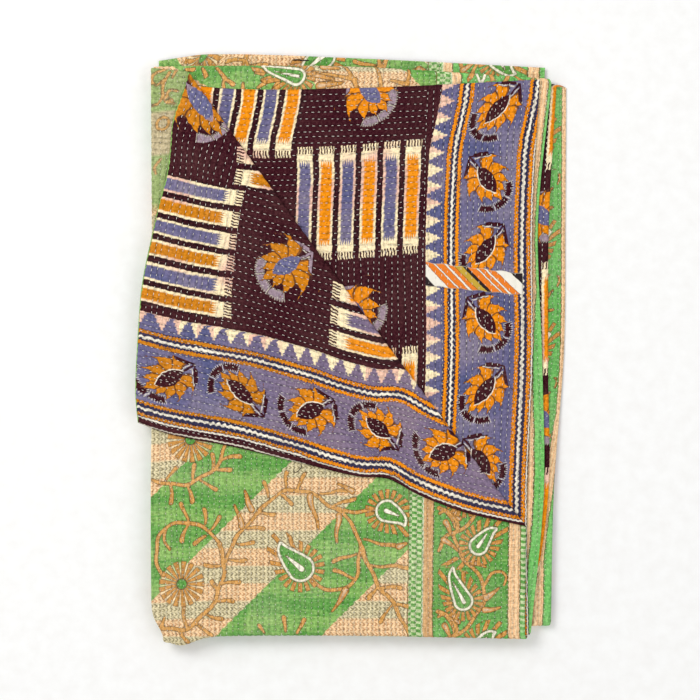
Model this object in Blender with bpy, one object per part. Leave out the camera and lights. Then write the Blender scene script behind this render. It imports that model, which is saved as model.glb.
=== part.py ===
"""A kantha quilt, folded into a packet with one corner turned back.

Two printed cotton cloths lie back to back: the green one outside, the plum one inside. The quilt is folded
in half along its length with the green cloth outside, then folded back and forth across its length into
four panels. The near corner of the top layer is turned back over the packet, plum side up, and a striped
patch is sewn on the plum cloth beneath it.

Lengths are in metres. +X runs to the hems, +Y to the quilt's end and +Z up, with the origin under the middle
of the packet, on the surface that it lies on.
"""

import math

import bmesh
import bpy
from mathutils import Vector

# The two cloths and the stack
CLOTH = 0.0010  # thickness of one printed cloth with its share of the quilting
GAP = 0.0003  # between the two cloths
HALF_QUILT = CLOTH + GAP / 2  # from the quilt's middle to its face
LAYER = 0.0034  # height from one layer of the quilt to the next
PANEL_WIDTH = 0.485  # fold to hem
PANEL_LENGTH = 0.715  # end hem to fold, and fold to fold

SIDE_RADIUS = LAYER / 2  # of the lengthwise fold
END_RADIUS = LAYER  # of the three crosswise folds
TURN_RADIUS = 0.0020  # of the turned corner's fold

# Where the crosswise lines lie, as Y: at the fold, then near it, midway and at the hem of each half
CROSS_STATIONS = (0.0, 0.13, 0.5, 1.0)
CROSSWISE = {
    #                  fold    upper: near, middle, hem     lower: near, middle, hem
    "first end": (0.350, (0.343, 0.315, 0.278), (0.327, 0.325, 0.336)),
    "front fold": (-0.359, (-0.354, -0.353, -0.357), (-0.354, -0.353, -0.355)),
    "back fold": (0.347, (0.348, 0.347, 0.328), (0.348, 0.347, 0.332)),
    "inner fold": (-0.348, (-0.348, -0.347, -0.342), (-0.348, -0.347, -0.344)),
    "last end": (0.362, (0.367, 0.360, 0.349), (0.370, 0.365, 0.353)),
}

# How far out the fold and the two hems of each panel lie, as X, at five even steps from its +Y end
PANELS = (
    # first and last crosswise line, fold, upper hem, lower hem
    {
        "lines": ("first end", "front fold"),
        "fold": (-0.247, -0.246, -0.245, -0.247, -0.246),
        "upper": (0.230, 0.226, 0.223, 0.219, 0.217),
        "lower": (0.236, 0.227, 0.227, 0.220, 0.222),
    },
    {
        "lines": ("back fold", "front fold"),
        "fold": (-0.245, -0.246, -0.246, -0.246, -0.246),
        "upper": (0.258, 0.248, 0.247, 0.247, 0.222),
        "lower": (0.251, 0.234, 0.239, 0.241, 0.225),
    },
    {
        "lines": ("back fold", "inner fold"),
        "fold": (-0.245, -0.244, -0.244, -0.243, -0.241),
        "upper": (0.271, 0.270, 0.268, 0.255, 0.251),
        "lower": (0.246, 0.231, 0.226, 0.226, 0.231),
    },
    {
        "lines": ("last end", "inner fold"),
        "fold": (-0.239, -0.240, -0.240, -0.241, -0.241),
        "upper": (0.238, 0.234, 0.231, 0.236, 0.248),
        "lower": (0.244, 0.236, 0.231, 0.229, 0.231),
    },
)

# The turned corner
TURN_END = 0.9167  # where its fold meets the end hem, as a share of the panel's width from the hem
TURN_SIDE = 0.7945  # where it meets the long hem, as a share of the panel's length from the end
TURN_FOOT = 0.4346  # where the corner's perpendicular meets the fold, from the end hem
TURN_DEPTH = 0.3170  # from the fold to the turned corner
PULL_STATIONS = (0.0, 0.15, 0.23, 0.30, 0.37, 0.44, 0.60, 0.75, 0.90, 1.0)  # from its foot to the corner
HEM_PULL = (0.0, 0.0, 0.0039, 0.0100, 0.0200, 0.0135, 0.0130, 0.0118, 0.0066, 0.0080)  # its long hem, inwards
EDGE_PULL = (0.006, 0.0105, 0.0086, 0.0086, 0.0130, 0.0156, 0.0200, 0.0160, 0.0090, 0.0)  # its end, outwards
SAG_LENGTH = 0.060  # an overhang of this length drops half as much

# The outer hem, which comes down to the surface past the layers below it
DROP_FROM = 0.2430
DROP_TO = 0.2700
OUTER_HEIGHT = HALF_QUILT + 3 * LAYER  # of the fifth layer

# The packet's slow swell, as a share of the height
SWELL = 0.05
CORNER = Vector((-0.2480, -0.3600))  # where the folded corner is rounded
CORNER_ROUND = 0.014

# The patch on the second layer, as X and Y of its corners, clockwise from the inner far one
PATCH_CORNERS = (
    Vector((0.0935, 0.1080)),
    Vector((0.2140, 0.0935)),
    Vector((0.2145, 0.0665)),
    Vector((0.0930, 0.0785)),
)
PATCH_THICKNESS = 0.0010

# Mesh steps
ACROSS_STEPS = 4
HEM_STEPS = (0.009, 0.018, 0.028)  # from each long hem
SIDE_STEPS = (0.022, 0.055)  # from the lengthwise fold
FOLD_STEPS = 5
PANEL_STEPS = (8, 5, 5, 4)
FRONT_STEPS = (0.014, 0.038)  # from the front fold
END_FOLD_STEPS = 6
TURN_STEPS = 5

SIDE_ARC = math.pi * SIDE_RADIUS
END_ARC = math.pi * END_RADIUS
WIDTH = 2 * PANEL_WIDTH + SIDE_ARC
LENGTH = 4 * PANEL_LENGTH + 3 * END_ARC

COLOURS = {
    "green_cloth": ((0.29, 0.60, 0.22, 1), 0.9),
    "plum_cloth": ((0.06, 0.015, 0.03, 1), 0.9),
    "patch": ((0.80, 0.30, 0.03, 1), 0.9),
}


def smoothstep(t):
    t = min(max(t, 0.0), 1.0)
    return t * t * (3 - 2 * t)


def bump(distance, width):
    return math.exp(-((distance / width) ** 2))


def along(stations, values, t):
    """A smooth curve through values at these stations: a cubic on each stretch, with slopes from both sides."""
    slopes = []
    last = len(stations) - 1
    for i in range(len(stations)):
        low, high = max(i - 1, 0), min(i + 1, last)
        slopes.append((values[high] - values[low]) / (stations[high] - stations[low]))
    i = 0
    while i < last - 1 and t > stations[i + 1]:
        i += 1
    span = stations[i + 1] - stations[i]
    s = (t - stations[i]) / span
    return (
        values[i] * (1 + 2 * s) * (1 - s) ** 2
        + slopes[i] * span * s * (1 - s) ** 2
        + values[i + 1] * s * s * (3 - 2 * s)
        + slopes[i + 1] * span * s * s * (s - 1)
    )


def on_line(name, half, share):
    """Y of a crosswise line, at this share of the way from the fold to the hem of one half."""
    fold, upper, lower = CROSSWISE[name]
    return along(CROSS_STATIONS, (fold, *(upper if half == "upper" else lower)), share)


def flat_place(panel, half, share, down):
    """X and Y in a panel: share runs from fold to hem, and down from the panel's +Y line to its -Y line."""
    table = PANELS[panel]
    steps = [i / 4 for i in range(5)]
    fold = along(steps, table["fold"], down)
    hem = along(steps, table[half], down)
    far, near = (on_line(name, half, share) for name in table["lines"])
    return Vector((fold + (hem - fold) * share, far + (near - far) * down))


def across(u, lift):
    """Half, share, outward offset and height above the pair's middle. lift is positive on the green side."""
    radius = SIDE_RADIUS + lift
    if u <= PANEL_WIDTH:
        return "upper", 1 - u / PANEL_WIDTH, 0.0, radius
    if u >= PANEL_WIDTH + SIDE_ARC:
        return "lower", (u - PANEL_WIDTH - SIDE_ARC) / PANEL_WIDTH, 0.0, -radius
    turn = (u - PANEL_WIDTH) / SIDE_RADIUS
    return "upper" if turn < math.pi / 2 else "lower", 0.0, radius * math.sin(turn), radius * math.cos(turn)


def pair_height(panel):
    """Height of the middle of a panel's two layers."""
    return HALF_QUILT + LAYER * (2 * (3 - panel) + 0.5)


def stacked(u, v, lift):
    """The packet with no corner turned: a point at u from the upper half's hem and v from the first end."""
    half, share, out, height = across(u, lift)
    panel = min(int(v / (PANEL_LENGTH + END_ARC)), 3)
    rest = v - panel * (PANEL_LENGTH + END_ARC)
    forward = panel % 2 == 0
    side = 1 if forward else -1
    if rest <= PANEL_LENGTH or panel == 3:
        run = min(rest / PANEL_LENGTH, 1.0)
        place = flat_place(panel, half, share, run if forward else 1 - run)
        z = pair_height(panel) + side * height
    else:
        turn = (rest - PANEL_LENGTH) / END_RADIUS
        blend = turn / math.pi
        down = 1.0 if forward else 0.0
        place = flat_place(panel, half, share, down) * (1 - blend)
        place += flat_place(panel + 1, half, share, down) * blend
        radius = END_RADIUS + side * height
        place.y -= side * radius * math.sin(turn)
        z = (pair_height(panel) + pair_height(panel + 1)) / 2 + radius * math.cos(turn)
    place.x -= out
    return Vector((place.x, place.y, z))


def rounded_corner(point):
    """The packet's folded front corner pulled round: its side drawn in and its front pushed out beside it."""
    side = bump(point.x - CORNER.x, 0.030) * bump(point.y - CORNER.y, 0.020)
    front = bump(point.x - CORNER.x - 0.034, 0.026) * bump(point.y - CORNER.y, 0.030)
    return Vector((point.x + CORNER_ROUND * side, point.y - 0.009 * front, point.z))


def settled(point):
    """The outer hem let down to the surface, and the whole stack swelling a little."""
    drop = (OUTER_HEIGHT - HALF_QUILT) * smoothstep((point.x - DROP_FROM) / (DROP_TO - DROP_FROM))
    point.z -= drop * min(1.0, max(0.0, (point.z - HALF_QUILT) / (OUTER_HEIGHT - HALF_QUILT)))
    wave = math.sin(9 * point.x + 4 * point.y + 0.6) + math.sin(5 * point.x - 11 * point.y)
    point.z *= 1 + SWELL * wave / 2
    return point


def turned_share(u, v):
    """How far a point lies past the turned corner's fold: 0 on it, 1 at the corner."""
    return 1 - u / (TURN_END * PANEL_WIDTH) - v / (TURN_SIDE * PANEL_LENGTH)


def place_of(u, v, lift):
    """Where a point of the flat quilt lies in the packet."""
    past = turned_share(u, v)
    if past <= 0 or u > PANEL_WIDTH:
        return settled(rounded_corner(stacked(u, v, lift)))
    end, side = TURN_END * PANEL_WIDTH, TURN_SIDE * PANEL_LENGTH
    along_fold = v / side + past * TURN_FOOT
    hinge = stacked(end * (1 - along_fold), side * along_fold, 0.0)
    first, last = stacked(end, 0.0, 0.0), stacked(0.0, side, 0.0)
    run = (last - first).xy.normalized()
    away = Vector((-run.y, run.x))  # towards the corner before it is turned
    reach = past * TURN_DEPTH
    turn = min(reach / TURN_RADIUS, math.pi)
    radius = TURN_RADIUS - lift
    out = radius * math.sin(turn) - max(0.0, reach - math.pi * TURN_RADIUS)
    point = Vector((hinge.x, hinge.y, hinge.z + TURN_RADIUS - radius * math.cos(turn)))
    point.xy += away * out
    from_hem, from_end = u / end, v / side
    settle = smoothstep(reach / 0.05)
    pinch = along(PULL_STATIONS, HEM_PULL, past) * math.exp(-from_hem / 0.25) * settle
    belly = along(PULL_STATIONS, EDGE_PULL, past) * math.exp(-from_end / 0.3) * settle
    point.x += 0.28 * pinch - belly
    point.y += 0.96 * pinch
    overhang = max(0.0, PANELS[0]["fold"][2] - 0.004 - point.x)
    point.z -= overhang**2 / (2 * SAG_LENGTH)
    return settled(point)


def steps_between(start, end, count):
    return [start + (end - start) * i / count for i in range(1, count)]


def across_stations():
    turn = PANEL_WIDTH + SIDE_ARC
    beside = [PANEL_WIDTH - step for step in SIDE_STEPS] + [turn + step for step in SIDE_STEPS]
    return (
        list(HEM_STEPS)
        + steps_between(HEM_STEPS[-1], PANEL_WIDTH - SIDE_STEPS[-1], ACROSS_STEPS)
        + beside
        + [PANEL_WIDTH, *steps_between(PANEL_WIDTH, turn, FOLD_STEPS), turn]
        + steps_between(turn + SIDE_STEPS[-1], WIDTH - HEM_STEPS[-1], ACROSS_STEPS)
        + [WIDTH - step for step in HEM_STEPS]
    )


def length_stations():
    stations = []
    start = 0.0
    for panel, count in enumerate(PANEL_STEPS):
        stations += steps_between(start, start + PANEL_LENGTH, count)
        start += PANEL_LENGTH
        if panel < 3:
            stations += [start, *steps_between(start, start + END_ARC, END_FOLD_STEPS), start + END_ARC]
            start += END_ARC
    front = PANEL_LENGTH + END_ARC
    stations += [PANEL_LENGTH - step for step in FRONT_STEPS] + [front + step for step in FRONT_STEPS]
    return stations


def cut(bm, point, normal, inside=None):
    """Cuts the flat cloth along a straight line, only where inside allows it."""
    faces = [f for f in bm.faces if inside is None or inside(f.calc_center_median())]
    edges = list({e for f in faces for e in f.edges})
    verts = list({v for f in faces for v in f.verts})
    bmesh.ops.bisect_plane(bm, geom=verts + edges + faces, plane_co=point, plane_no=normal, dist=1e-6)


def flat_cloth():
    """The quilt laid flat as one triangulated sheet, with a line of points along every bend."""
    bm = bmesh.new()
    bmesh.ops.create_grid(bm, x_segments=1, y_segments=1, size=0.5)
    for vert in bm.verts:
        vert.co = Vector(((vert.co.x + 0.5) * WIDTH, (vert.co.y + 0.5) * LENGTH, 0))
    for u in across_stations():
        cut(bm, (u, 0, 0), (1, 0, 0))
    for v in length_stations():
        cut(bm, (0, v, 0), (0, 1, 0))
    end, side = TURN_END * PANEL_WIDTH, TURN_SIDE * PANEL_LENGTH
    arc = math.pi * TURN_RADIUS / TURN_DEPTH
    shares = [arc * i / TURN_STEPS for i in range(TURN_STEPS + 1)]

    def in_top_layer(middle):
        return middle.x < PANEL_WIDTH and middle.y < PANEL_LENGTH

    for share in shares:
        cut(bm, (end * (1 - share), 0, 0), (side, end, 0), in_top_layer)
    bmesh.ops.triangulate(bm, faces=bm.faces)
    return bm


def folded_cloth(name, low, high, collection):
    """One cloth of the quilt, from low to high above the quilt's middle, folded with it."""
    bm = flat_cloth()
    for vert in bm.verts:
        vert.co.z = low
    grown = bmesh.ops.extrude_face_region(bm, geom=list(bm.faces))
    for item in grown["geom"]:
        if isinstance(item, bmesh.types.BMVert):
            item.co.z = high
    bmesh.ops.recalc_face_normals(bm, faces=bm.faces)
    for vert in bm.verts:
        vert.co = place_of(*vert.co)
    return finished(bm, name, collection)


def patch(collection):
    """The striped patch, lying on the plum side of the second layer."""
    bm = bmesh.new()
    bmesh.ops.create_grid(bm, x_segments=6, y_segments=3, size=0.5)
    bmesh.ops.triangulate(bm, faces=bm.faces)
    grown = bmesh.ops.extrude_face_region(bm, geom=list(bm.faces))
    raised = {item for item in grown["geom"] if isinstance(item, bmesh.types.BMVert)}
    inner_far, outer_far, outer_near, inner_near = PATCH_CORNERS
    ground = pair_height(0) - SIDE_RADIUS + HALF_QUILT + GAP
    for vert in bm.verts:
        s, t = vert.co.x + 0.5, vert.co.y + 0.5
        flat = inner_near.lerp(outer_near, s).lerp(inner_far.lerp(outer_far, s), t)
        height = ground + (PATCH_THICKNESS if vert in raised else 0)
        vert.co = settled(Vector((flat.x, flat.y, height)))
    bmesh.ops.recalc_face_normals(bm, faces=bm.faces)
    return finished(bm, "patch", collection)


def finished(bm, name, collection):
    mesh = bpy.data.meshes.new(name)
    bm.to_mesh(mesh)
    bm.free()
    obj = bpy.data.objects.new(name, mesh)
    obj.data.materials.append(cloth_material(name))
    collection.objects.link(obj)
    return obj


def cloth_material(name):
    colour, roughness = COLOURS[name]
    material = bpy.data.materials.new(name)
    material.use_nodes = True
    shader = material.node_tree.nodes["Principled BSDF"]
    shader.inputs["Base Color"].default_value = colour
    shader.inputs["Roughness"].default_value = roughness
    shader.inputs["Metallic"].default_value = 0
    material.diffuse_color = colour
    return material


def main():
    for obj in list(bpy.data.objects):
        bpy.data.objects.remove(obj)
    collection = bpy.data.collections.new("kantha_quilt")
    bpy.context.scene.collection.children.link(collection)
    folded_cloth("green_cloth", GAP / 2, HALF_QUILT, collection)
    folded_cloth("plum_cloth", -HALF_QUILT, -GAP / 2, collection)
    patch(collection)


main()
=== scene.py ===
"""A kantha quilt folded into a packet: two printed cloths, the running stitch that joins them and a patch.

The quilt is worked out flat and then folded. A point of it is u from its upper long hem, v from its first end
and lift from its middle, positive on the green side. Lengths are in metres, except in the prints, whose
sizes are in millimetres of flat cloth.
"""

import math

import bmesh
import bpy
import numpy as np
from bpy.props import FloatProperty, FloatVectorProperty, PointerProperty
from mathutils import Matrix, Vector


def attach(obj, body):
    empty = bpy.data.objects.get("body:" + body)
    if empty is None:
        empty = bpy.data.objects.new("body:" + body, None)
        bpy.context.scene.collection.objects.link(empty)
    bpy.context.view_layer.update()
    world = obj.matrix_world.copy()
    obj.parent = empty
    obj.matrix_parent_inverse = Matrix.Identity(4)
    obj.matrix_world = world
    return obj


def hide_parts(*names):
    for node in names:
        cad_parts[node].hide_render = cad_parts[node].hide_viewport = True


bl_info = {
    "name": "Folded Kantha Quilt",
    "version": (1, 0, 0),
    "blender": (4, 5, 0),
    "location": "View3D > Sidebar > Quilt",
    "description": "Builds a folded kantha quilt with its prints, stitching and patch",
    "category": "Add Mesh",
}

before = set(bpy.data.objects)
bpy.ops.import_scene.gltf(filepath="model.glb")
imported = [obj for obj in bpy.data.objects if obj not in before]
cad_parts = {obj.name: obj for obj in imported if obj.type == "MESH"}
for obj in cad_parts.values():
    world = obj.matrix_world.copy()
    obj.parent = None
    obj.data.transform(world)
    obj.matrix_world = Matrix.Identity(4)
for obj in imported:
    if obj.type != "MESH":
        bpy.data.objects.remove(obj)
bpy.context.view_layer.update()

# ---- The quilt and its folds, as in its solids ----
CLOTH = 0.0010
GAP = 0.0003
HALF_QUILT = CLOTH + GAP / 2
LAYER = 0.0034
PANEL_WIDTH = 0.485
PANEL_LENGTH = 0.715
SIDE_RADIUS = LAYER / 2
END_RADIUS = LAYER
TURN_RADIUS = 0.0020

CROSS_STATIONS = (0.0, 0.13, 0.5, 1.0)
CROSSWISE = {
    #                  fold    upper: near, middle, hem     lower: near, middle, hem
    "first end": (0.350, (0.343, 0.315, 0.278), (0.327, 0.325, 0.336)),
    "front fold": (-0.359, (-0.354, -0.353, -0.357), (-0.354, -0.353, -0.355)),
    "back fold": (0.347, (0.348, 0.347, 0.328), (0.348, 0.347, 0.332)),
    "inner fold": (-0.348, (-0.348, -0.347, -0.342), (-0.348, -0.347, -0.344)),
    "last end": (0.362, (0.367, 0.360, 0.349), (0.370, 0.365, 0.353)),
}
PANEL_STATIONS = np.linspace(0.0, 1.0, 5)
# Each panel: its far and near lines, then X of its fold, its upper hem and its lower hem, from far to near
PANELS = (
    (("first end", "front fold"),
     (-0.247, -0.246, -0.245, -0.247, -0.246),
     (0.230, 0.226, 0.223, 0.219, 0.217),
     (0.236, 0.227, 0.227, 0.220, 0.222)),
    (("back fold", "front fold"),
     (-0.245, -0.246, -0.246, -0.246, -0.246),
     (0.258, 0.248, 0.247, 0.247, 0.222),
     (0.251, 0.234, 0.239, 0.241, 0.225)),
    (("back fold", "inner fold"),
     (-0.245, -0.244, -0.244, -0.243, -0.241),
     (0.271, 0.270, 0.268, 0.255, 0.251),
     (0.246, 0.231, 0.226, 0.226, 0.231)),
    (("last end", "inner fold"),
     (-0.239, -0.240, -0.240, -0.241, -0.241),
     (0.238, 0.234, 0.231, 0.236, 0.248),
     (0.244, 0.236, 0.231, 0.229, 0.231)),
)
# The turned corner's fold: where it meets the end and the hem, as shares of a panel's width and length, the
# share of the way along it at which the corner is nearest, and the corner's distance from it
TURN_END = 0.9167
TURN_SIDE = 0.7945
TURN_FOOT = 0.4346
TURN_DEPTH = 0.3170
BEND = math.pi * TURN_RADIUS / TURN_DEPTH  # the share of the turned corner that goes round the fold
TURN_CUTS = 8
# How far the turned corner's hem and end are pulled in, from its fold out to the corner, and the hem's way
PULL_STATIONS = (0.0, 0.15, 0.23, 0.30, 0.37, 0.44, 0.60, 0.75, 0.90, 1.0)
HEM_PULL = (0.0, 0.0, 0.0039, 0.0100, 0.0200, 0.0135, 0.0130, 0.0118, 0.0066, 0.0080)
EDGE_PULL = (0.006, 0.0105, 0.0086, 0.0086, 0.0130, 0.0156, 0.0200, 0.0160, 0.0090, 0.0)
HEM_PULL_WAY = (0.28, 0.96)
HEM_PULL_REACH, EDGE_PULL_REACH = 0.25, 0.3
SAG_LENGTH = 0.060
DROP_FROM = 0.2430
DROP_TO = 0.2700
OUTER_HEIGHT = HALF_QUILT + 3 * LAYER
SWELL = 0.05
# The packet's folded front corner, how far its side is drawn in and its front is pushed out beside it
CORNER = (-0.2480, -0.3600)
DRAWN_IN, PUSHED_OUT = 0.014, 0.009

PATCH_CORNERS = ((0.0935, 0.1080), (0.2140, 0.0935), (0.2145, 0.0665), (0.0930, 0.0785))
PATCH_SIZE = (0.121, 0.030)  # flat
PATCH_THICKNESS = 0.0010

SIDE_ARC = math.pi * SIDE_RADIUS
END_ARC = math.pi * END_RADIUS
WIDTH = 2 * PANEL_WIDTH + SIDE_ARC
LENGTH = 4 * PANEL_LENGTH + 3 * END_ARC

ROWS_IN_PANEL = 61  # of running stitch, between a hem and the lengthwise fold
ROW = PANEL_WIDTH / ROWS_IN_PANEL
STITCH_REPEAT = 0.0072  # from stitch to stitch along a row
TROUGH = 0.00060  # how far a row of stitches draws the face in
PUFF = 0.00018  # how far the face swells between rows
BOW = 0.00022  # how far the middle of a stitch stands above its ends
BORDER = 0.142  # depth of the printed side borders
UPPER_SQUARES = 0.105  # end of the barred squares at the first end, on the upper half of the quilt
LOWER_SQUARES = 0.218  # and on the lower half
# Stray thread ends, on the flat quilt
HOOKED_END = (
    (0.2935, 0.4940), (0.2925, 0.4978), (0.2955, 0.5019), (0.2985, 0.5052), (0.3018, 0.5050), (0.3027, 0.5019)
)
STRAIGHT_END = (
    (0.656, LENGTH - 0.0058), (0.663, LENGTH - 0.0054), (0.671, LENGTH - 0.0056), (0.678, LENGTH - 0.0052)
)

CAMERA_HEIGHT = 2.6
VIEW_WIDTH = 0.875  # at a height near the packet's top
PACKET_TOP = 0.02
VIEW_MIDDLE = (-0.00125, -0.0019)


def smoothstep(t):
    t = np.clip(t, 0.0, 1.0)
    return t * t * (3 - 2 * t)


def bump(distance, width):
    return np.exp(-((distance / width) ** 2))


def along(stations, values, t):
    """A smooth curve through values at these stations: cubics whose slopes come from both sides."""
    stations, values = np.asarray(stations), np.asarray(values)
    last = len(stations) - 1
    low = np.maximum(np.arange(last + 1) - 1, 0)
    high = np.minimum(np.arange(last + 1) + 1, last)
    slopes = (values[high] - values[low]) / (stations[high] - stations[low])
    i = np.searchsorted(stations[1:-1], t, side="left")
    span = stations[i + 1] - stations[i]
    s = (t - stations[i]) / span
    return (
        values[i] * (1 + 2 * s) * (1 - s) ** 2
        + slopes[i] * span * s * (1 - s) ** 2
        + values[i + 1] * s * s * (3 - 2 * s)
        + slopes[i + 1] * span * s * s * (s - 1)
    )


def on_line(name, upper, share):
    """Y of a crosswise line, at this share of the way from the fold to the hem of the upper or lower half."""
    fold, *halves = CROSSWISE[name]
    return np.where(upper, *(along(CROSS_STATIONS, (fold, *line), share) for line in halves))


def flat_place(panel, upper, share, down):
    """X and Y in a panel: share runs from fold to hem, and down from the panel's +Y line to its -Y line."""
    lines, *edges = PANELS[panel]
    fold, *hems = (along(PANEL_STATIONS, edge, down) for edge in edges)
    hem = np.where(upper, *hems)
    far, near = (on_line(name, upper, share) for name in lines)
    return fold + (hem - fold) * share, far + (near - far) * down


def across(u, lift):
    """Upper or lower half, share from fold to hem, outward offset and height above the pair's middle."""
    radius = SIDE_RADIUS + lift
    turn = np.clip((u - PANEL_WIDTH) / SIDE_RADIUS, 0.0, math.pi)
    upper = turn < math.pi / 2
    share = np.where(upper, 1 - u / PANEL_WIDTH, (u - PANEL_WIDTH - SIDE_ARC) / PANEL_WIDTH)
    return upper, np.clip(share, 0.0, 1.0), radius * np.sin(turn), radius * np.cos(turn)


def pair_height(panel):
    """Height of the middle of a panel's two layers."""
    return HALF_QUILT + LAYER * (2 * (3 - panel) + 0.5)


def stacked(u, v, lift):
    """The packet with no corner turned: flat panels joined by half circles, one panel at a time."""
    u, v, lift = (np.array(a, float) for a in np.broadcast_arrays(u, v, lift))
    upper, share, out, height = across(u, lift)
    x, y, z = np.empty(u.shape), np.empty(u.shape), np.empty(u.shape)
    which = np.clip((v / (PANEL_LENGTH + END_ARC)).astype(int), 0, 3)
    for panel in range(4):
        here = which == panel
        rest = v[here] - panel * (PANEL_LENGTH + END_ARC)
        forward = panel % 2 == 0
        side = 1 if forward else -1
        run = np.clip(rest / PANEL_LENGTH, 0.0, 1.0)
        place = flat_place(panel, upper[here], share[here], run if forward else 1 - run)
        level = pair_height(panel) + side * height[here]
        if panel < 3:
            bent = rest > PANEL_LENGTH
            turn = np.clip((rest - PANEL_LENGTH) / END_RADIUS, 0.0, math.pi)
            down = np.full(rest.shape, 1.0 if forward else 0.0)
            first = flat_place(panel, upper[here], share[here], down)
            second = flat_place(panel + 1, upper[here], share[here], down)
            blend = turn / math.pi
            radius = END_RADIUS + side * height[here]
            middle = (pair_height(panel) + pair_height(panel + 1)) / 2
            bent_y = first[1] + (second[1] - first[1]) * blend - side * radius * np.sin(turn)
            place = (
                np.where(bent, first[0] + (second[0] - first[0]) * blend, place[0]),
                np.where(bent, bent_y, place[1]),
            )
            level = np.where(bent, middle + radius * np.cos(turn), level)
        x[here], y[here], z[here] = place[0] - out[here], place[1], level
    return x, y, z


def rounded_corner(x, y, z):
    """The packet's folded front corner pulled round, by smooth bumps in X and Y."""
    side = bump(x - CORNER[0], 0.030) * bump(y - CORNER[1], 0.020)
    front = bump(x - CORNER[0] - 0.034, 0.026) * bump(y - CORNER[1], 0.030)
    return x + DRAWN_IN * side, y - PUSHED_OUT * front, z


def settled(x, y, z):
    """The outer hem let down to the surface, and the whole stack swelling a little."""
    drop = (OUTER_HEIGHT - HALF_QUILT) * smoothstep((x - DROP_FROM) / (DROP_TO - DROP_FROM))
    z = z - drop * np.clip((z - HALF_QUILT) / (OUTER_HEIGHT - HALF_QUILT), 0.0, 1.0)
    wave = np.sin(9 * x + 4 * y + 0.6) + np.sin(5 * x - 11 * y)
    return x, y, z * (1 + SWELL * wave / 2)


def turned_share(u, v):
    """How far a point lies past the turned corner's fold: 0 on it, 1 at the corner."""
    return 1 - u / (TURN_END * PANEL_WIDTH) - v / (TURN_SIDE * PANEL_LENGTH)


def turned_corner(u, v, lift):
    """The corner carried round a half circle about its fold, then away from the fold over the packet."""
    past = turned_share(u, v)
    end, side = TURN_END * PANEL_WIDTH, TURN_SIDE * PANEL_LENGTH
    along_fold = v / side + past * TURN_FOOT
    hinge = stacked(end * (1 - along_fold), side * along_fold, 0.0)
    first, last = stacked(end, 0.0, 0.0), stacked(0.0, side, 0.0)
    run = Vector((last[0] - first[0], last[1] - first[1])).normalized()
    reach = past * TURN_DEPTH
    turn = np.minimum(reach / TURN_RADIUS, math.pi)
    radius = TURN_RADIUS - lift
    out = radius * np.sin(turn) - np.maximum(0.0, reach - math.pi * TURN_RADIUS)
    from_hem, from_end = u / end, v / side
    settle = smoothstep(reach / 0.05)
    pinch = along(PULL_STATIONS, HEM_PULL, past) * np.exp(-from_hem / HEM_PULL_REACH) * settle
    belly = along(PULL_STATIONS, EDGE_PULL, past) * np.exp(-from_end / EDGE_PULL_REACH) * settle
    x = hinge[0] - run.y * out + HEM_PULL_WAY[0] * pinch - belly
    y = hinge[1] + run.x * out + HEM_PULL_WAY[1] * pinch
    overhang = np.maximum(0.0, PANELS[0][1][2] - 0.004 - x)
    z = hinge[2] + TURN_RADIUS - radius * np.cos(turn) - overhang**2 / (2 * SAG_LENGTH)
    return x, y, z


def place_of(u, v, lift):
    """Where points of the flat quilt lie in the packet, as one array of X, Y and Z."""
    u, v, lift = (np.array(a, float) for a in np.broadcast_arrays(u, v, lift))
    place = np.stack(settled(*rounded_corner(*stacked(u, v, lift))), axis=-1)
    turned = (turned_share(u, v) > 0) & (u <= PANEL_WIDTH)
    if turned.any():
        place[turned] = np.stack(settled(*turned_corner(u[turned], v[turned], lift[turned])), axis=-1)
    return place


# ---- The cloths ----
def unique(*lists):
    """One rising list of places, without repeats."""
    places = np.unique(np.concatenate(lists))
    return places[np.concatenate([[True], np.diff(places) > 2e-6])]


def stations(*stretches):
    """One rising list of places, from stretches given as (start, end, number of steps)."""
    return unique(*(np.linspace(start, end, count + 1) for start, end, count in stretches))


FOLD_START = PANEL_WIDTH
FOLD_END = PANEL_WIDTH + SIDE_ARC
RIM = 0.0011  # the hem's rounding


def lengthwise(panel, share):
    """v of a place in a panel, at this share of its length."""
    return panel * (PANEL_LENGTH + END_ARC) + share * PANEL_LENGTH


def in_panel(panel, low, high, steps):
    """A stretch along the quilt, between two shares of a panel's length."""
    return lengthwise(panel, low), lengthwise(panel, high), steps


def fold_stretches(steps):
    return [(lengthwise(panel, 1.0), lengthwise(panel + 1, 0.0), steps) for panel in range(3)]


def rim_stations(length):
    """Three steps round each hem, spaced as a quarter circle is."""
    near = RIM * (1 - np.cos(np.linspace(0, math.pi / 2, 4)))
    return np.concatenate([near, length - near])


def grid_faces(rows, columns, first=0):
    """Quads between neighbouring rows and columns of a grid of points numbered row by row."""
    index = first + np.arange(rows * columns).reshape(rows, columns)
    return np.stack([index[:-1, :-1], index[1:, :-1], index[1:, 1:], index[:-1, 1:]], -1).reshape(-1, 4)


def ladder(fine, fine_places, coarse, coarse_places):
    """Triangles between two rows of points with unlike steps, each short edge to its nearest far point."""
    middles = (coarse_places[1:] + coarse_places[:-1]) / 2
    nearest = np.searchsorted(middles, (fine_places[1:] + fine_places[:-1]) / 2)
    short = np.stack([fine[:-1], fine[1:], coarse[nearest]], -1)
    steps = np.arange(len(coarse) - 1)
    switch = np.searchsorted(nearest, steps, side="right")
    long = np.stack([coarse[steps + 1], coarse[steps], fine[switch]], -1)
    return np.concatenate([short, long])


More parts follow.
